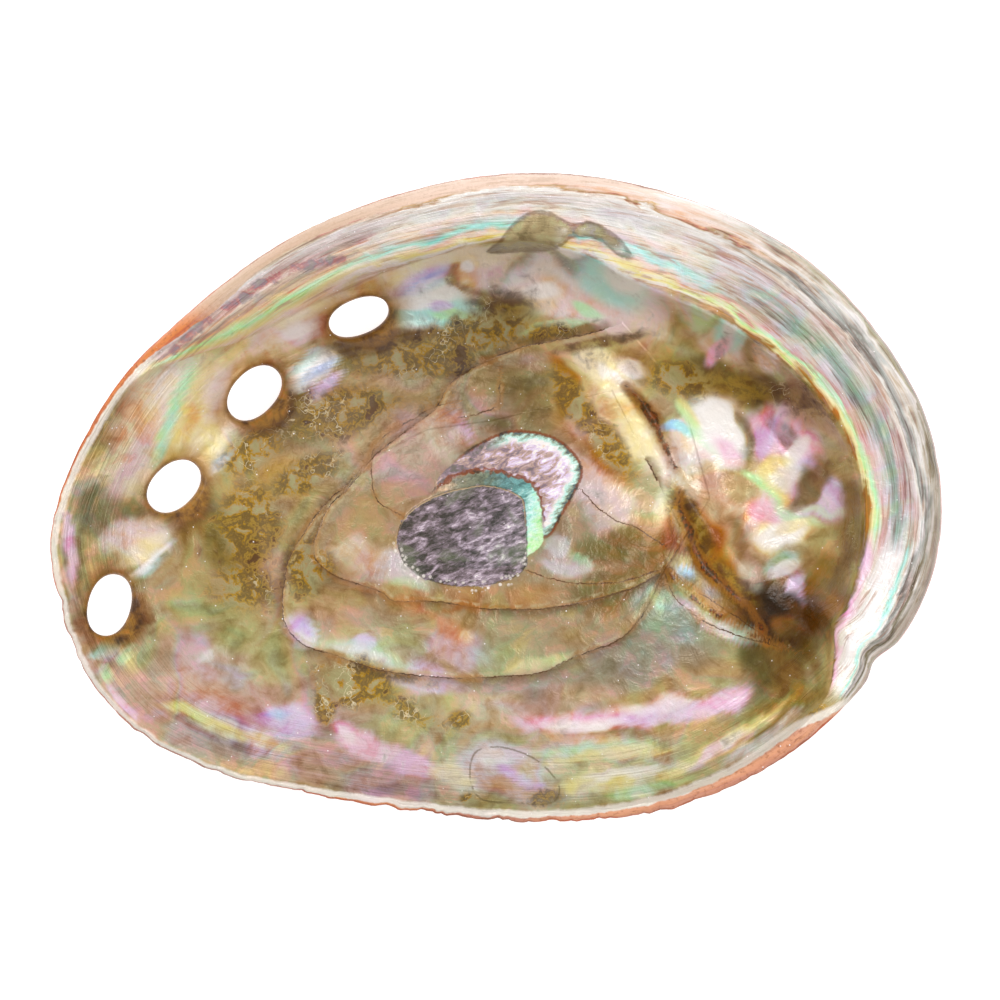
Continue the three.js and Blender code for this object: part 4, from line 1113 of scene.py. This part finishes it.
class PearlFields:
    """The stored fields, in millimetres, and the noises that the pearly face is mixed from."""

    def __init__(self, g):
        mm = g.millimetres()
        flow = g.attribute("flow")
        self.flat = flat = g.stretched(mm, (1, 1, 0.35))
        self.x, self.y, _ = g.parts(mm)
        self.gold_depth, self.umber_depth, self.hole = g.parts(g.attribute("stain"))
        self.scar, self.teal, self.lobe = g.parts(g.attribute("beds"))
        self.leaf, self.outer_bed, self.inner_bed = g.parts(g.attribute("leaves"))
        self.from_outline, self.across, self.shelf = g.parts(g.attribute("rim"))
        self.layer, self.brick, self.blister = g.parts(g.attribute("outer"))
        self.mound, self.furrow, self.stripe = g.parts(g.attribute("marks"))
        self.cloud = g.noise(g.moved(flat, (40, 9, 3)), 0.06, 2, 0.55, 1.2)
        self.marble = g.noise(flat, 0.1, 4, 0.52, 1)
        self.streak = g.noise(g.stretched(flow, (0.06, 0.06, 0.3)), 1, 3, 0.6, 0.8)
        self.hair = g.noise(g.stretched(flow, (0.14, 0.14, 1.5)), 1, 3, 0.6, 0.5)
        self.blot = g.noise(g.moved(flat, (3, 50, 9)), 0.34, 4, 0.6, 0.4)
        self.grain = g.noise(flat, 1.3, 3, 0.6)
        self.brushed = g.noise(g.turned(flat, 24, (0.24, 0.55, 1)), 1, 3, 0.58, 0.9)
        self.flecks = g.noise(g.turned(flat, 18, (0.7, 1.5, 1)), 1, 3, 0.7, 0.5)
        self.mottle = self.blot * 0.5 + self.marble * 0.5
        self.wiggle = self.grain.sway(0.8) + self.blot.sway(0.8)
        self.near_rim = g.fall(self.from_outline, 6, 24)
        self.turn = (self.cloud * 3 + self.marble * 0.8 + self.streak * self.near_rim).part_of_turn()


def lay_fire(g, coat, f):
    """A marbled fire that darkens the wash to amber and lightens it to pink."""
    along = 0.5 + f.streak.sway(0.12 + 0.88 * f.near_rim)
    fire = g.step(f.marble * 0.45 + along * 0.3 + f.blot * 0.25, 0.35, 0.65)
    _, brightness, _ = g.parts(coat.colour)
    coat.lay(g.ramp(fire, FIRE), 0.9 - 0.6 * g.step(brightness, 0.55, 0.8), "OVERLAY")
    coat.lay(g.ramp(f.turn, RAINBOW), 0.42, "OVERLAY")


def lay_stains(g, coat, f):
    """Gold and brown stains with pale cracks through them. Returns how strong each stain is."""
    gold = g.step(f.gold_depth + f.blot.sway(0.9) + f.grain.sway(0.15) + f.marble.sway(1.4), 0.1, 0.8)
    gold_tone = 0.44 + f.blot.sway(2.2) + f.marble.sway(2.4) + f.grain.sway(0.3)
    coat.lay(g.ramp(gold_tone, {
        0.1: "sage", 0.28: "dun", 0.4: "gold", 0.5: "bark", 0.64: (0.14, 0.08, 0.015), 0.8: "ochre",
        0.95: "umber"}), gold * 0.9)
    umber = g.step(f.umber_depth + f.blot.sway(1.1) + f.marble.sway(0.9), 0.2, 0.9)
    umber_tone = 0.4 + f.blot.sway(2) + f.marble.sway(2) + f.grain.sway(0.4)
    coat.lay(g.ramp(umber_tone, {
        0.16: "ochre", 0.32: "olive", 0.44: (0.16, 0.08, 0.012), 0.62: (0.11, 0.05, 0.01),
        0.9: (0.07, 0.03, 0.008)}), umber * 0.86)
    wander = g.node("ShaderNodeTexNoise", None, {"Vector": f.flat, "Scale": 0.3, "Detail": 2.0}, "Color")
    cracked = g.moved(f.flat, g.stretched(wander, (10, 10, 10)))
    crack = g.fall(g.cells(cracked, 0.22, "DISTANCE_TO_EDGE"), 0.006, 0.03)
    coat.lay("cream", crack * g.step(f.cloud, 0.5, 0.6) * gold.most(umber) * 0.6)
    return gold, umber


def lay_furrows(g, coat, f):
    """Amber sides of the furrows by the spire, and painted shade at their bottoms in ink and rust."""
    furrow = f.furrow + f.blot.sway(4) + f.marble.sway(4)
    coat.lay("amber", g.fall(furrow, 1, 2.4) * 0.4)
    # Painted shade in the furrows' bottoms, dark ink with patches of rust
    coat.lay(g.mix("ink", "rust", g.step(f.grain, 0.42, 0.6)), g.fall(furrow, 0.1, 1) * 0.85)


def lay_layer_edges(g, coat, f):
    """A thin dark line at each layer's edge, partly its own colour and partly painted shadow of the step,
    with brown painted shade on its low side and a pale painted highlight on its high side.
    """
    beds = (f.outer_bed + f.wiggle, f.inner_bed + f.wiggle)
    hidden = (HIDDEN * g.step(f.x + f.y * 0.4, 36, 39),
              HIDDEN * g.step(f.x, 33, 35) + HIDDEN * g.step(f.y, 8, 9))
    edge = (f.leaf + f.wiggle).size()
    for bed, away in zip(beds, hidden):
        edge = edge.least(bed.size() + away)
    coat.lay("amber", g.fall(edge + f.marble.sway(5), 0.1, 0.9) * 0.3)
    # Painted shade: a soft brown band on each edge's low side
    outer_low_shade, inner_low_shade = (
        g.step(bed, -2.6, 0) * g.fall(bed, -0.1, 0.1) * g.fall(away, 0, HIDDEN)
        for bed, away in zip(beds, hidden))
    patches = g.between(g.step(f.marble, 0.4, 0.6), 0.2, 0.7)
    coat.lay("bark", outer_low_shade.most(inner_low_shade) * patches, "MULTIPLY")
    # Painted highlight: a pale line on each edge's high side
    outer_highlight, inner_highlight = ((bed - 0.8).size() + away for bed, away in zip(beds, hidden))
    coat.lay("putty", g.fall(outer_highlight.least(inner_highlight), 0.1, 0.5) * g.step(f.blot, 0.46, 0.56) * 0.4)
    # The dark line itself: partly the edge's own colour, partly painted shadow of the step
    coat.lay(g.mix("ink", "umber", g.step(f.marble, 0.44, 0.56)),
             g.fall(edge, 0.04, 0.22) * g.between(g.step(f.mottle, 0.42, 0.56), 0.1, 0.95))


def lay_lobe(g, coat, f):
    """The brushed, silvery lobe, with a bright rim on its right."""
    value = 0.33 + f.brushed.sway(1.5) + f.flecks.sway(0.5) + 0.2 * g.step(f.x - f.y * 0.2, -3, 6)
    lobe = Coat(g, g.ramp(value, {
        0.12: (0.12, 0.11, 0.1), 0.3: "violet", 0.44: "mauve", 0.58: "lilac", 0.74: "pearl",
        0.9: "blush"}))
    rim = f.lobe + f.brushed.sway(4)
    rim_colour = g.ramp(rim * 0.25 + f.flecks.sway(0.8), {
        0: (0.05, 0.11, 0.12), 0.14: "teal", 0.3: "aqua", 0.5: "pearl"})
    lobe.lay(rim_colour, g.fall(rim, 1.4, 3) * g.step(f.x + f.y * 0.4, 1, 8))
    coat.lay(lobe.colour, g.step(f.lobe + f.grain.sway(0.4), -0.1, 0.25) * 0.88)


def lay_teal(g, coat, f, teal_mask):
    """The bed that goes from brown through teal to mint across the scar's right."""
    value = (f.x - f.y * 0.5 + 14 + f.brushed.sway(14)) * (1 / 28)
    teal = Coat(g, g.ramp(value, {
        0.02: "fawn", 0.2: (0.2, 0.2, 0.13), 0.36: (0.13, 0.17, 0.11), 0.5: (0.07, 0.2, 0.2),
        0.66: (0.12, 0.36, 0.34), 0.8: "aqua", 0.95: "mint"}))
    teal.lay(g.ramp(f.flecks, {0.3: (0.2, 0.2, 0.2), 0.7: (0.8, 0.8, 0.8)}), 0.9, "OVERLAY")
    coat.lay(teal.colour, teal_mask * 0.92)


def lay_scar(g, coat, f):
    """The lobe, the teal bed and the muscle scar, one on another. Returns where the scar is."""
    teal_mask = g.step(f.teal + f.grain.sway(0.5), -0.1, 0.25)
    lay_lobe(g, coat, f)
    lay_teal(g, coat, f, teal_mask)
    scar_mask = g.step(f.scar + f.blot.sway(2.6) + f.flecks.sway(0.9), -0.1, 0.3)
    # The brushed streaks run from the scar's own dark grey-violet up to painted pink-white highlights, more
    # of them towards its lower right
    value = 0.46 + f.brushed.sway(1.5) + f.flecks.sway(0.9) + 0.16 * (g.step(f.x - f.y * 0.4, -12, 8) - 0.5)
    scar = Coat(g, g.ramp(value, {
        0.2: (0.05, 0.045, 0.04), 0.36: (0.14, 0.11, 0.12), 0.5: (0.26, 0.2, 0.24),
        0.62: (0.42, 0.33, 0.4), 0.74: (0.66, 0.54, 0.64), 0.86: "pearl"}))
    scar.lay((0.15, 0.18, 0.1), g.step(f.marble, 0.5, 0.62) * 0.55)
    coat.lay(scar.colour, scar_mask * 0.96)

    beads = g.cells(f.flat, 0.9)
    by_edge = g.near(f.scar, 0.5, 1.6) * g.fall(f.y, -13, -6)
    coat.lay("bone", g.fall(beads, 0.22, 0.4) * by_edge * 0.8)
    coat.lay("sand", g.near(f.scar - 0.2 + f.wiggle * 0.5, 0.05, 0.22) * g.step(f.y, -7, -3) * 0.75)
    scallop = (beads - 0.5) * 1.1 + f.grain.sway(0.5)
    scar_line = g.near(f.teal + scallop, 0.2, 0.6) * g.step(f.y + f.x * 0.3, -5, 0)
    lobe_line = g.near(f.lobe + f.grain.sway(0.8), 0.1, 0.5) * (1 - teal_mask) * g.step(f.x + f.y, -6, 6)
    coat.lay(g.mix("ink", "rust", g.step(f.blot, 0.36, 0.5)),
             scar_line.most(lobe_line * (1 - scar_mask)) * 0.85)
    return scar_mask


def lay_mound(g, coat, f):
    """The mound on the shelf's inner edge. Returns where it is."""
    on_mound = g.step(f.mound + f.blot.sway(3) + f.marble.sway(2), -0.3, 0.8)
    on_mound = on_mound * g.between(g.step(f.y + f.blot.sway(5), 48.4, 51), 0.35, 1)
    mound = Coat(g, g.ramp(f.mottle, {0.38: "moss", 0.46: "dun", 0.54: "sage", 0.62: "slate"}))
    mound.lay("umber", g.step(f.x + f.blot.sway(8), 18, 28) * 0.6)
    mound.lay("bone", g.step(f.mound + f.blot.sway(3), 0.6, 2.2) * g.step(f.x, 11, 15) * 0.6)
    coat.lay(mound.colour, on_mound * 0.9)
    return on_mound


def lay_shelf(g, coat, f, on_mound):
    """The shelf, in bands and fine growth lines that follow the rim."""
    wide = f.across * (1 - 0.2 * g.step(f.x, 4, -34))
    band = wide + f.streak.sway(0.35) + f.marble.sway(0.2)
    shelf = Coat(g, g.ramp(band, TOP_BANDS))
    shelf.lay(g.ramp(band, LEFT_BANDS), g.step(f.x + f.marble.sway(20), -16, -34))
    shelf.lay(g.ramp(band, RIGHT_BANDS), g.step(f.x - f.y * 0.9, -15, 30))
    shelf.lay(g.ramp(band, LOW_BANDS), g.step(f.y + f.marble.sway(14), -5, -13))
    lines = g.step(f.hair * 0.6 + f.streak * 0.4, 0.36, 0.64)
    shelf.lay(g.ramp(lines, GROWTH_LINES), 0.85, "OVERLAY")
    shelf.lay(g.ramp(f.turn, RAINBOW), 0.34 * g.step(band, 0.25, 0.5), "OVERLAY")
    dark_lines = g.step(f.hair, 0.44, 0.36) * g.step(band, 0.2, 0.3) * g.step(f.marble, 0.42, 0.55)
    shelf.lay("mauve", dark_lines * 0.7)
    stripe = g.ramp(f.mottle, {0.4: "slate", 0.47: "violet", 0.53: (0.45, 0.1, 0.12), 0.6: "mauve"})
    shelf.lay(stripe, g.fall(f.stripe + f.blot.sway(4), 0.3, 1.3) * 0.75)
    far_edge = g.fall(f.from_outline + f.hair.sway(8), 1, 5.4) * g.step(f.x - f.y * 0.2, 76, 86)
    shelf.lay("bark", far_edge * 0.7, "MULTIPLY")
    on_shelf = g.fall(wide + f.blot.sway(0.06), 0.97, 1.01) * g.step(f.shelf, 0.05, 0.4) * (1 - on_mound)
    coat.lay(shelf.colour, on_shelf * 0.95)

    mound_line = g.near(f.mound + f.grain.sway(0.6) + f.blot.sway(3), 0.1, 0.9)
    coat.lay("umber", mound_line * g.step(f.mound, -0.5, 0) * 0.6)
    flaked = g.step(f.blot + g.fall(f.from_outline, 0, 1.6) * 0.16, 0.6, 0.68) * g.step(f.x, 40, 60)
    coat.lay("moss", flaked * g.fall(f.from_outline, 1, 3) * 0.8)


def lay_rim(g, coat, f):
    """The thin lip and the outer layer that shows past it. Returns where the outer layer is."""
    lip = g.step(f.layer + f.blot.sway(1.2), -1.7, -0.9) * g.fall(f.shelf, 0.1, 0.5)
    coat.lay("bone", lip * 0.7)
    on_layer = g.step(f.layer + f.blot.sway(1.3), 0, 0.4)
    reds = g.step(f.streak, 0.4, 0.6)
    layer = Coat(g, g.mix("blush", "fawn", 0.2 + 0.5 * g.step(f.x, 0, -40)))
    layer.lay("fawn", g.step(f.hair * 0.7 + f.grain * 0.3, 0.46, 0.6) * 0.5)
    layer.lay(g.mix("brick", "orange", reds), f.brick)
    layer.lay("rust", g.step(f.grain, 0.52, 0.7) * f.brick * 0.6)
    coat.lay(layer.colour, on_layer * 0.94)
    under_rim = g.fall(f.from_outline + f.hair.sway(1.2) + f.blot.sway(0.8), 0.1, 0.45)
    coat.lay(g.mix("rust", "brick", reds), under_rim * 0.85)
    return on_layer


def lay_horn(g, coat, f):
    """The holes' horny rims, with a brown halo round them. Returns where the horn is."""
    halo = g.fall(f.hole + f.blot.sway(1.6) + f.marble.sway(2), 0.2, 4)
    coat.lay((0.5, 0.27, 0.06), halo * 0.8, "MULTIPLY")
    horn = g.fall(f.hole + f.blot.sway(0.9) + f.marble.sway(0.9), -0.6, 1.2)
    coat.lay(g.ramp(f.blot * 0.6 + f.marble * 0.4, {
        0.38: (0.05, 0.018, 0.003), 0.46: (0.16, 0.065, 0.008), 0.54: (0.3, 0.14, 0.015), 0.62: "amber",
        0.7: "gold"}), horn * 0.85)
    return horn


def lay_small_marks(g, coat, f):
    """The line round the blister, and small white specks: grains on the face and painted glints."""
    blister_line = g.near(f.blister + f.grain.sway(0.4), 0.06, 0.3) * g.step(f.blot, 0.4, 0.5)
    coat.lay("shadow", blister_line * 0.6)
    dust_and_glints = g.fall(g.cells(f.flat, 0.5), 0.05, 0.09) * g.step(f.blot, 0.5, 0.56)
    coat.lay("pearl", dust_and_glints * 0.8)


def pearl_material(palette):
    """The pearly face: washes and stains under a marbled fire, painted shade on the bowl's floor, layer edges
    and the muscle scar.
    """
    material, g = new_material("mother_of_pearl", palette)
    f = PearlFields(g)
    coat = Coat(g, g.attribute("tint", "Color"))
    lay_fire(g, coat, f)
    gold, umber = lay_stains(g, coat, f)
    # Painted shade: the tint's alpha darkens the bowl's floor
    shaded = g.scaled(coat.colour, g.attribute("tint", "Alpha"))
    coat.colour = g.node("ShaderNodeHueSaturation", None, {"Saturation": SATURATION, "Color": shaded})
    lay_furrows(g, coat, f)
    lay_layer_edges(g, coat, f)
    on_scar = lay_scar(g, coat, f)
    lay_shelf(g, coat, f, lay_mound(g, coat, f))
    on_layer = lay_rim(g, coat, f)
    horn = lay_horn(g, coat, f)
    lay_small_marks(g, coat, f)

    height = (g.step(f.outer_bed, -0.25, 0.25) * 0.4 + g.step(f.inner_bed, -0.25, 0.25) * 0.4
              + f.hair * f.near_rim * 0.6 + f.blot * 0.6 + f.marble * 1.2
              + f.flecks * 1.6 * g.step(f.scar, -0.1, 0.3))
    normal = g.node("ShaderNodeBump", None, {"Strength": 0.7, "Distance": MM, "Height": height})
    dull = (gold * 0.2).most(umber * 0.3).most(on_scar * 0.2).most(on_layer * 0.4).most(horn * 0.25)
    finish(g, {"Base Color": coat.colour, "Roughness": 0.3 + dull + f.grain * 0.06,
               "Metallic": 0.12 * (1 - dull * 2).most(0), "Normal": normal},
           {"Coat Weight": 0.12, "Coat Roughness": 0.15, "Specular IOR Level": 0.32})
    return material


def back_material(palette):
    """The rough outer layer: brick red and tan in growth bands, worn pale along its ribs."""
    material, g = new_material("outer_layer", palette)
    mm = g.millimetres()
    flow = g.attribute("flow")
    band = g.noise(g.stretched(flow, (0.015, 0.015, 0.22)), 1, 3, 0.55)
    rib = g.noise(g.stretched(flow, (0.04, 0.04, 0.9)), 1, 4, 0.6)
    crust = g.noise(mm, 0.09, 5, 0.62, 0.4)
    grain = g.noise(mm, 0.9, 4, 0.65)
    coat = Coat(g, g.ramp(band * 0.7 + rib * 0.3, {
        0.32: "umber", 0.42: "rust", 0.5: "brick", 0.55: (0.17, 0.06, 0.04), 0.62: "rust", 0.7: "fawn"}))
    coat.lay("moss", g.step(crust, 0.5, 0.62) * 0.75)
    coat.lay("mauve", g.step(crust * 0.6 + grain * 0.4, 0.46, 0.38) * 0.6)
    coat.lay("bone", g.step(crust + rib.sway(0.6) + grain.sway(0.5), 0.36, 0.26) * 0.7)
    coat.lay("umber", g.step(grain, 0.54, 0.7) * 0.6)
    height = rib * 0.8 + grain * 0.6 + crust * 1.4
    normal = g.node("ShaderNodeBump", None, {"Strength": 1.0, "Distance": 1.5 * MM, "Height": height})
    finish(g, {"Base Color": coat.colour, "Roughness": 0.6 + grain * 0.35, "Normal": normal}, {})
    return material


# ---------------------------------------------------------------- fine relief, by Geometry Nodes
RELIEF_INPUTS = (
    ("Rib Height", "NodeSocketFloat", "rib_height"), ("Rib Spacing", "NodeSocketFloat", "rib_spacing"),
    ("Ripple Height", "NodeSocketFloat", "ripple_height"),
    ("Scar Roughness", "NodeSocketFloat", "scar_roughness"), ("Seed", "NodeSocketInt", "seed"),
)
SEED_STRIDE = 17.3


def relief_tree():
    """Growth ribs on the back, ripples on the pearly face and a rough scar, then the two finishes."""
    tree = bpy.data.node_groups.new("Shell relief", "GeometryNodeTree")
    tree.interface.new_socket("Geometry", in_out="INPUT", socket_type="NodeSocketGeometry")
    for name, kind, _ in RELIEF_INPUTS:
        tree.interface.new_socket(name, in_out="INPUT", socket_type=kind)
    for name in ("Pearl Finish", "Back Finish"):
        tree.interface.new_socket(name, in_out="INPUT", socket_type="NodeSocketMaterial")
    tree.interface.new_socket("Geometry", in_out="OUTPUT", socket_type="NodeSocketGeometry")
    g = Graph(tree)
    given = tree.nodes.new("NodeGroupInput")
    taken = {socket.name: Value(g, socket) for socket in given.outputs if socket.name}

    def named(name, kind="FLOAT_VECTOR"):
        return g.node("GeometryNodeInputNamedAttribute", {"data_type": kind}, {"Name": name})

    flow_x, flow_y, flow_z = g.parts(named("flow"))
    from_outline, _, _ = g.parts(named("rim"))
    _, _, hole = g.parts(named("stain"))
    scar, _, _ = g.parts(named("beds"))
    on_back = named("on_back", "FLOAT")
    shift = taken["Seed"] * SEED_STRIDE

    def along_growth(around_scale, across_scale):
        vector = g.node("ShaderNodeCombineXYZ", None, {
            0: flow_x * around_scale, 1: flow_y * around_scale, 2: flow_z * across_scale + shift})
        return g.noise(vector)

    per_rib = MM / taken["Rib Spacing"]
    edge_fade = g.step(from_outline, 0.5, 5) * g.step(hole, 0, 2)
    ribs = along_growth(0.02, per_rib).sway(2) * taken["Rib Height"] * on_back
    ripples = along_growth(0.05, 0.16).sway(2) * taken["Ripple Height"] * (1 - on_back)
    position = g.stretched(g.node("GeometryNodeInputPosition"), PER_MM)
    pits = g.noise(position, 0.45, 3, 0.6).sway(2) * taken["Scar Roughness"]
    pits = pits * g.step(scar, -0.5, 1) * (1 - on_back)
    amount = (ribs + ripples) * edge_fade + pits
    offset = g.scaled(g.node("GeometryNodeInputNormal"), amount)
    moved = g.node("GeometryNodeSetPosition", None, {"Geometry": taken["Geometry"], "Offset": offset})
    whole = g.node("GeometryNodeRealizeInstances", None, {"Geometry": moved})
    pearly = g.node("GeometryNodeSetMaterial", None, {"Geometry": whole, "Material": taken["Pearl Finish"]})
    backed = g.node("GeometryNodeSetMaterial", None, {
        "Geometry": pearly, "Selection": named("back_face", "BOOLEAN"), "Material": taken["Back Finish"]})
    g.node("NodeGroupOutput", None, {"Geometry": backed})
    return tree


def plain_mesh(piece, tree, values):
    """Applies a node tree to a piece, with values for its inputs, and leaves plain mesh."""
    modifier = piece.modifiers.new(tree.name, "NODES")
    modifier.node_group = tree
    for item in tree.interface.items_tree:
        if item.in_out == "INPUT" and item.name in values:
            modifier[item.identifier] = values[item.name]
    depsgraph = bpy.context.evaluated_depsgraph_get()
    mesh = bpy.data.meshes.new_from_object(
        piece.evaluated_get(depsgraph), preserve_all_data_layers=True, depsgraph=depsgraph)
    piece.modifiers.remove(modifier)
    rough, piece.data = piece.data, mesh
    bpy.data.meshes.remove(rough)
    mesh.name = piece.name


# ---------------------------------------------------------------- operators
def keep_in_box(mesh):
    """Flattens what the relief pushed past the CAD solid's box, as wear does."""
    places = np.empty(len(mesh.vertices) * 3, np.float32)
    mesh.vertices.foreach_get("co", places)
    places = np.clip(places.reshape(-1, 3), CAD_LOW, CAD_HIGH)
    mesh.vertices.foreach_set("co", places.astype(np.float32).ravel())
    mesh.update()


def rough_shell(palette):
    """The shell's mesh before its fine relief, with the fields that its finishes look up."""
    x, y, z, faces, back_faces, on_back = shell_arrays()
    low, high = OUTLINE_LINE.min(axis=0), OUTLINE_LINE.max(axis=0)
    middle = (np.array(CAD_LOW[:2]) + np.array(CAD_HIGH[:2])) / 2
    shift = middle - (low + high) / 2 * MM
    scale_up = (CAD_HIGH[2] - CAD_LOW[2]) / z.max()
    plan_x, plan_y = ragged(x, y)
    points = np.stack([plan_x * MM + shift[0], plan_y * MM + shift[1], CAD_LOW[2] + z * scale_up], 1)
    mesh = bpy.data.meshes.new("shell")
    mesh.from_pydata(points.tolist(), [], faces.tolist())
    mesh.shade_smooth()
    for name, values in surface_fields(x, y, on_back > 0.5, palette).items():
        kind, key = ("FLOAT_COLOR", "color") if name == "tint" else ("FLOAT_VECTOR", "vector")
        mesh.attributes.new(name, kind, "POINT").data.foreach_set(key, values.astype(np.float32).ravel())
    mesh.attributes.new("on_back", "FLOAT", "POINT").data.foreach_set("value", on_back)
    mesh.attributes.new("back_face", "BOOLEAN", "FACE").data.foreach_set("value", back_faces)
    return mesh


class SHELL_OT_build(bpy.types.Operator):
    """Build the abalone shell with its finishes"""

    bl_idname = "shell.build"
    bl_label = "Abalone Shell"

    def execute(self, context):
        colours, relief = context.scene.shell_colours, context.scene.shell_relief
        palette = {name: np.array(getattr(colours, name)) for name in PALETTE}
        shell = bpy.data.objects.new("shell", rough_shell(palette))
        context.scene.collection.objects.link(shell)
        plain_mesh(shell, relief_tree(), {
            **{name: getattr(relief, prop) for name, _, prop in RELIEF_INPUTS},
            "Pearl Finish": pearl_material(palette), "Back Finish": back_material(palette)})
        keep_in_box(shell.data)
        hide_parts(CAD_NODE)
        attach(shell, "root")
        return {"FINISHED"}


# The stage: brightnesses, the frame's middle in millimetres, and each light's name, place in metres,
# diameter and share of the key light's power
FLOOR_COLOUR = (0.86, 0.86, 0.86, 1)
FLOOR_GLOW = 0.55
SKY_STRENGTH = 0.56
WHITE = (1, 1, 1, 1)
FRAME_MIDDLE = (0.8, -0.45)
SOFT_LIGHTS = (("key", (-0.7, 0.8, 1.3), 1.0, 1.0), ("fill", (0.9, -0.4, 1.3), 1.0, 0.6))
VIEW_DEPTH = 20


class SHELL_OT_stage(bpy.types.Operator):
    """Add the floor, the soft lights and the camera"""

    bl_idname = "shell.stage"
    bl_label = "Stage"

    def execute(self, context):
        scene, studio = context.scene, context.scene.shell_studio
        half = studio.floor_size / 2
        mesh = bpy.data.meshes.new("floor")
        corners = [(-half, -half, 0), (half, -half, 0), (half, half, 0), (-half, half, 0)]
        mesh.from_pydata(corners, [], [(0, 1, 2, 3)])
        floor = bpy.data.objects.new("floor", mesh)
        scene.collection.objects.link(floor)
        material, g = new_material("pale_floor")
        finish(g, {}, {"Base Color": FLOOR_COLOUR, "Roughness": 0.9, "Emission Color": WHITE,
                       "Emission Strength": FLOOR_GLOW})
        floor.data.materials.append(material)

        world = bpy.data.worlds.new("studio")
        world.use_nodes = True
        sky = world.node_tree.nodes["Background"].inputs
        sky["Color"].default_value, sky["Strength"].default_value = WHITE, SKY_STRENGTH
        scene.world = world
        for name, place, size, power in SOFT_LIGHTS:
            lamp = bpy.data.lights.new(name, "AREA")
            lamp.shape, lamp.size, lamp.energy = "DISK", size, power * studio.key_power
            light = bpy.data.objects.new(name, lamp)
            light.location = place
            light.rotation_euler = (-Vector(place)).to_track_quat("-Z", "Y").to_euler()
            scene.collection.objects.link(light)

        camera = bpy.data.objects.new("camera", bpy.data.cameras.new("camera"))
        camera.data.lens = camera.data.sensor_width * studio.camera_height / studio.frame_width
        camera.location = (FRAME_MIDDLE[0] * MM, FRAME_MIDDLE[1] * MM, CAD_HIGH[2] + studio.camera_height)
        camera.data.clip_end = VIEW_DEPTH
        scene.collection.objects.link(camera)
        scene.camera = camera
        scene.view_settings.view_transform = "Standard"
        return {"FINISHED"}


class SHELL_PT_panel(bpy.types.Panel):
    """Lists the shell's operators, sizes and colours"""

    bl_label = "Abalone Shell"
    bl_idname = "SHELL_PT_panel"
    bl_space_type = "VIEW_3D"
    bl_region_type = "UI"
    bl_category = "Shell"

    def draw(self, context):
        for operator in (SHELL_OT_build, SHELL_OT_stage):
            self.layout.operator(operator.bl_idname)
        for group in (context.scene.shell_relief, context.scene.shell_studio, context.scene.shell_colours):
            for name in group.__annotations__:
                self.layout.prop(group, name)


CLASSES = (ShellColours, ShellRelief, ShellStudio, SHELL_OT_build, SHELL_OT_stage, SHELL_PT_panel)


def register():
    for cls in CLASSES:
        bpy.utils.register_class(cls)
    bpy.types.Scene.shell_colours = bpy.props.PointerProperty(type=ShellColours)
    bpy.types.Scene.shell_relief = bpy.props.PointerProperty(type=ShellRelief)
    bpy.types.Scene.shell_studio = bpy.props.PointerProperty(type=ShellStudio)


def unregister():
    del bpy.types.Scene.shell_studio
    del bpy.types.Scene.shell_relief
    del bpy.types.Scene.shell_colours
    for cls in reversed(CLASSES):
        bpy.utils.unregister_class(cls)


def main():
    register()
    bpy.ops.shell.build()
    bpy.ops.shell.stage()


if __name__ == "__main__":
    main()
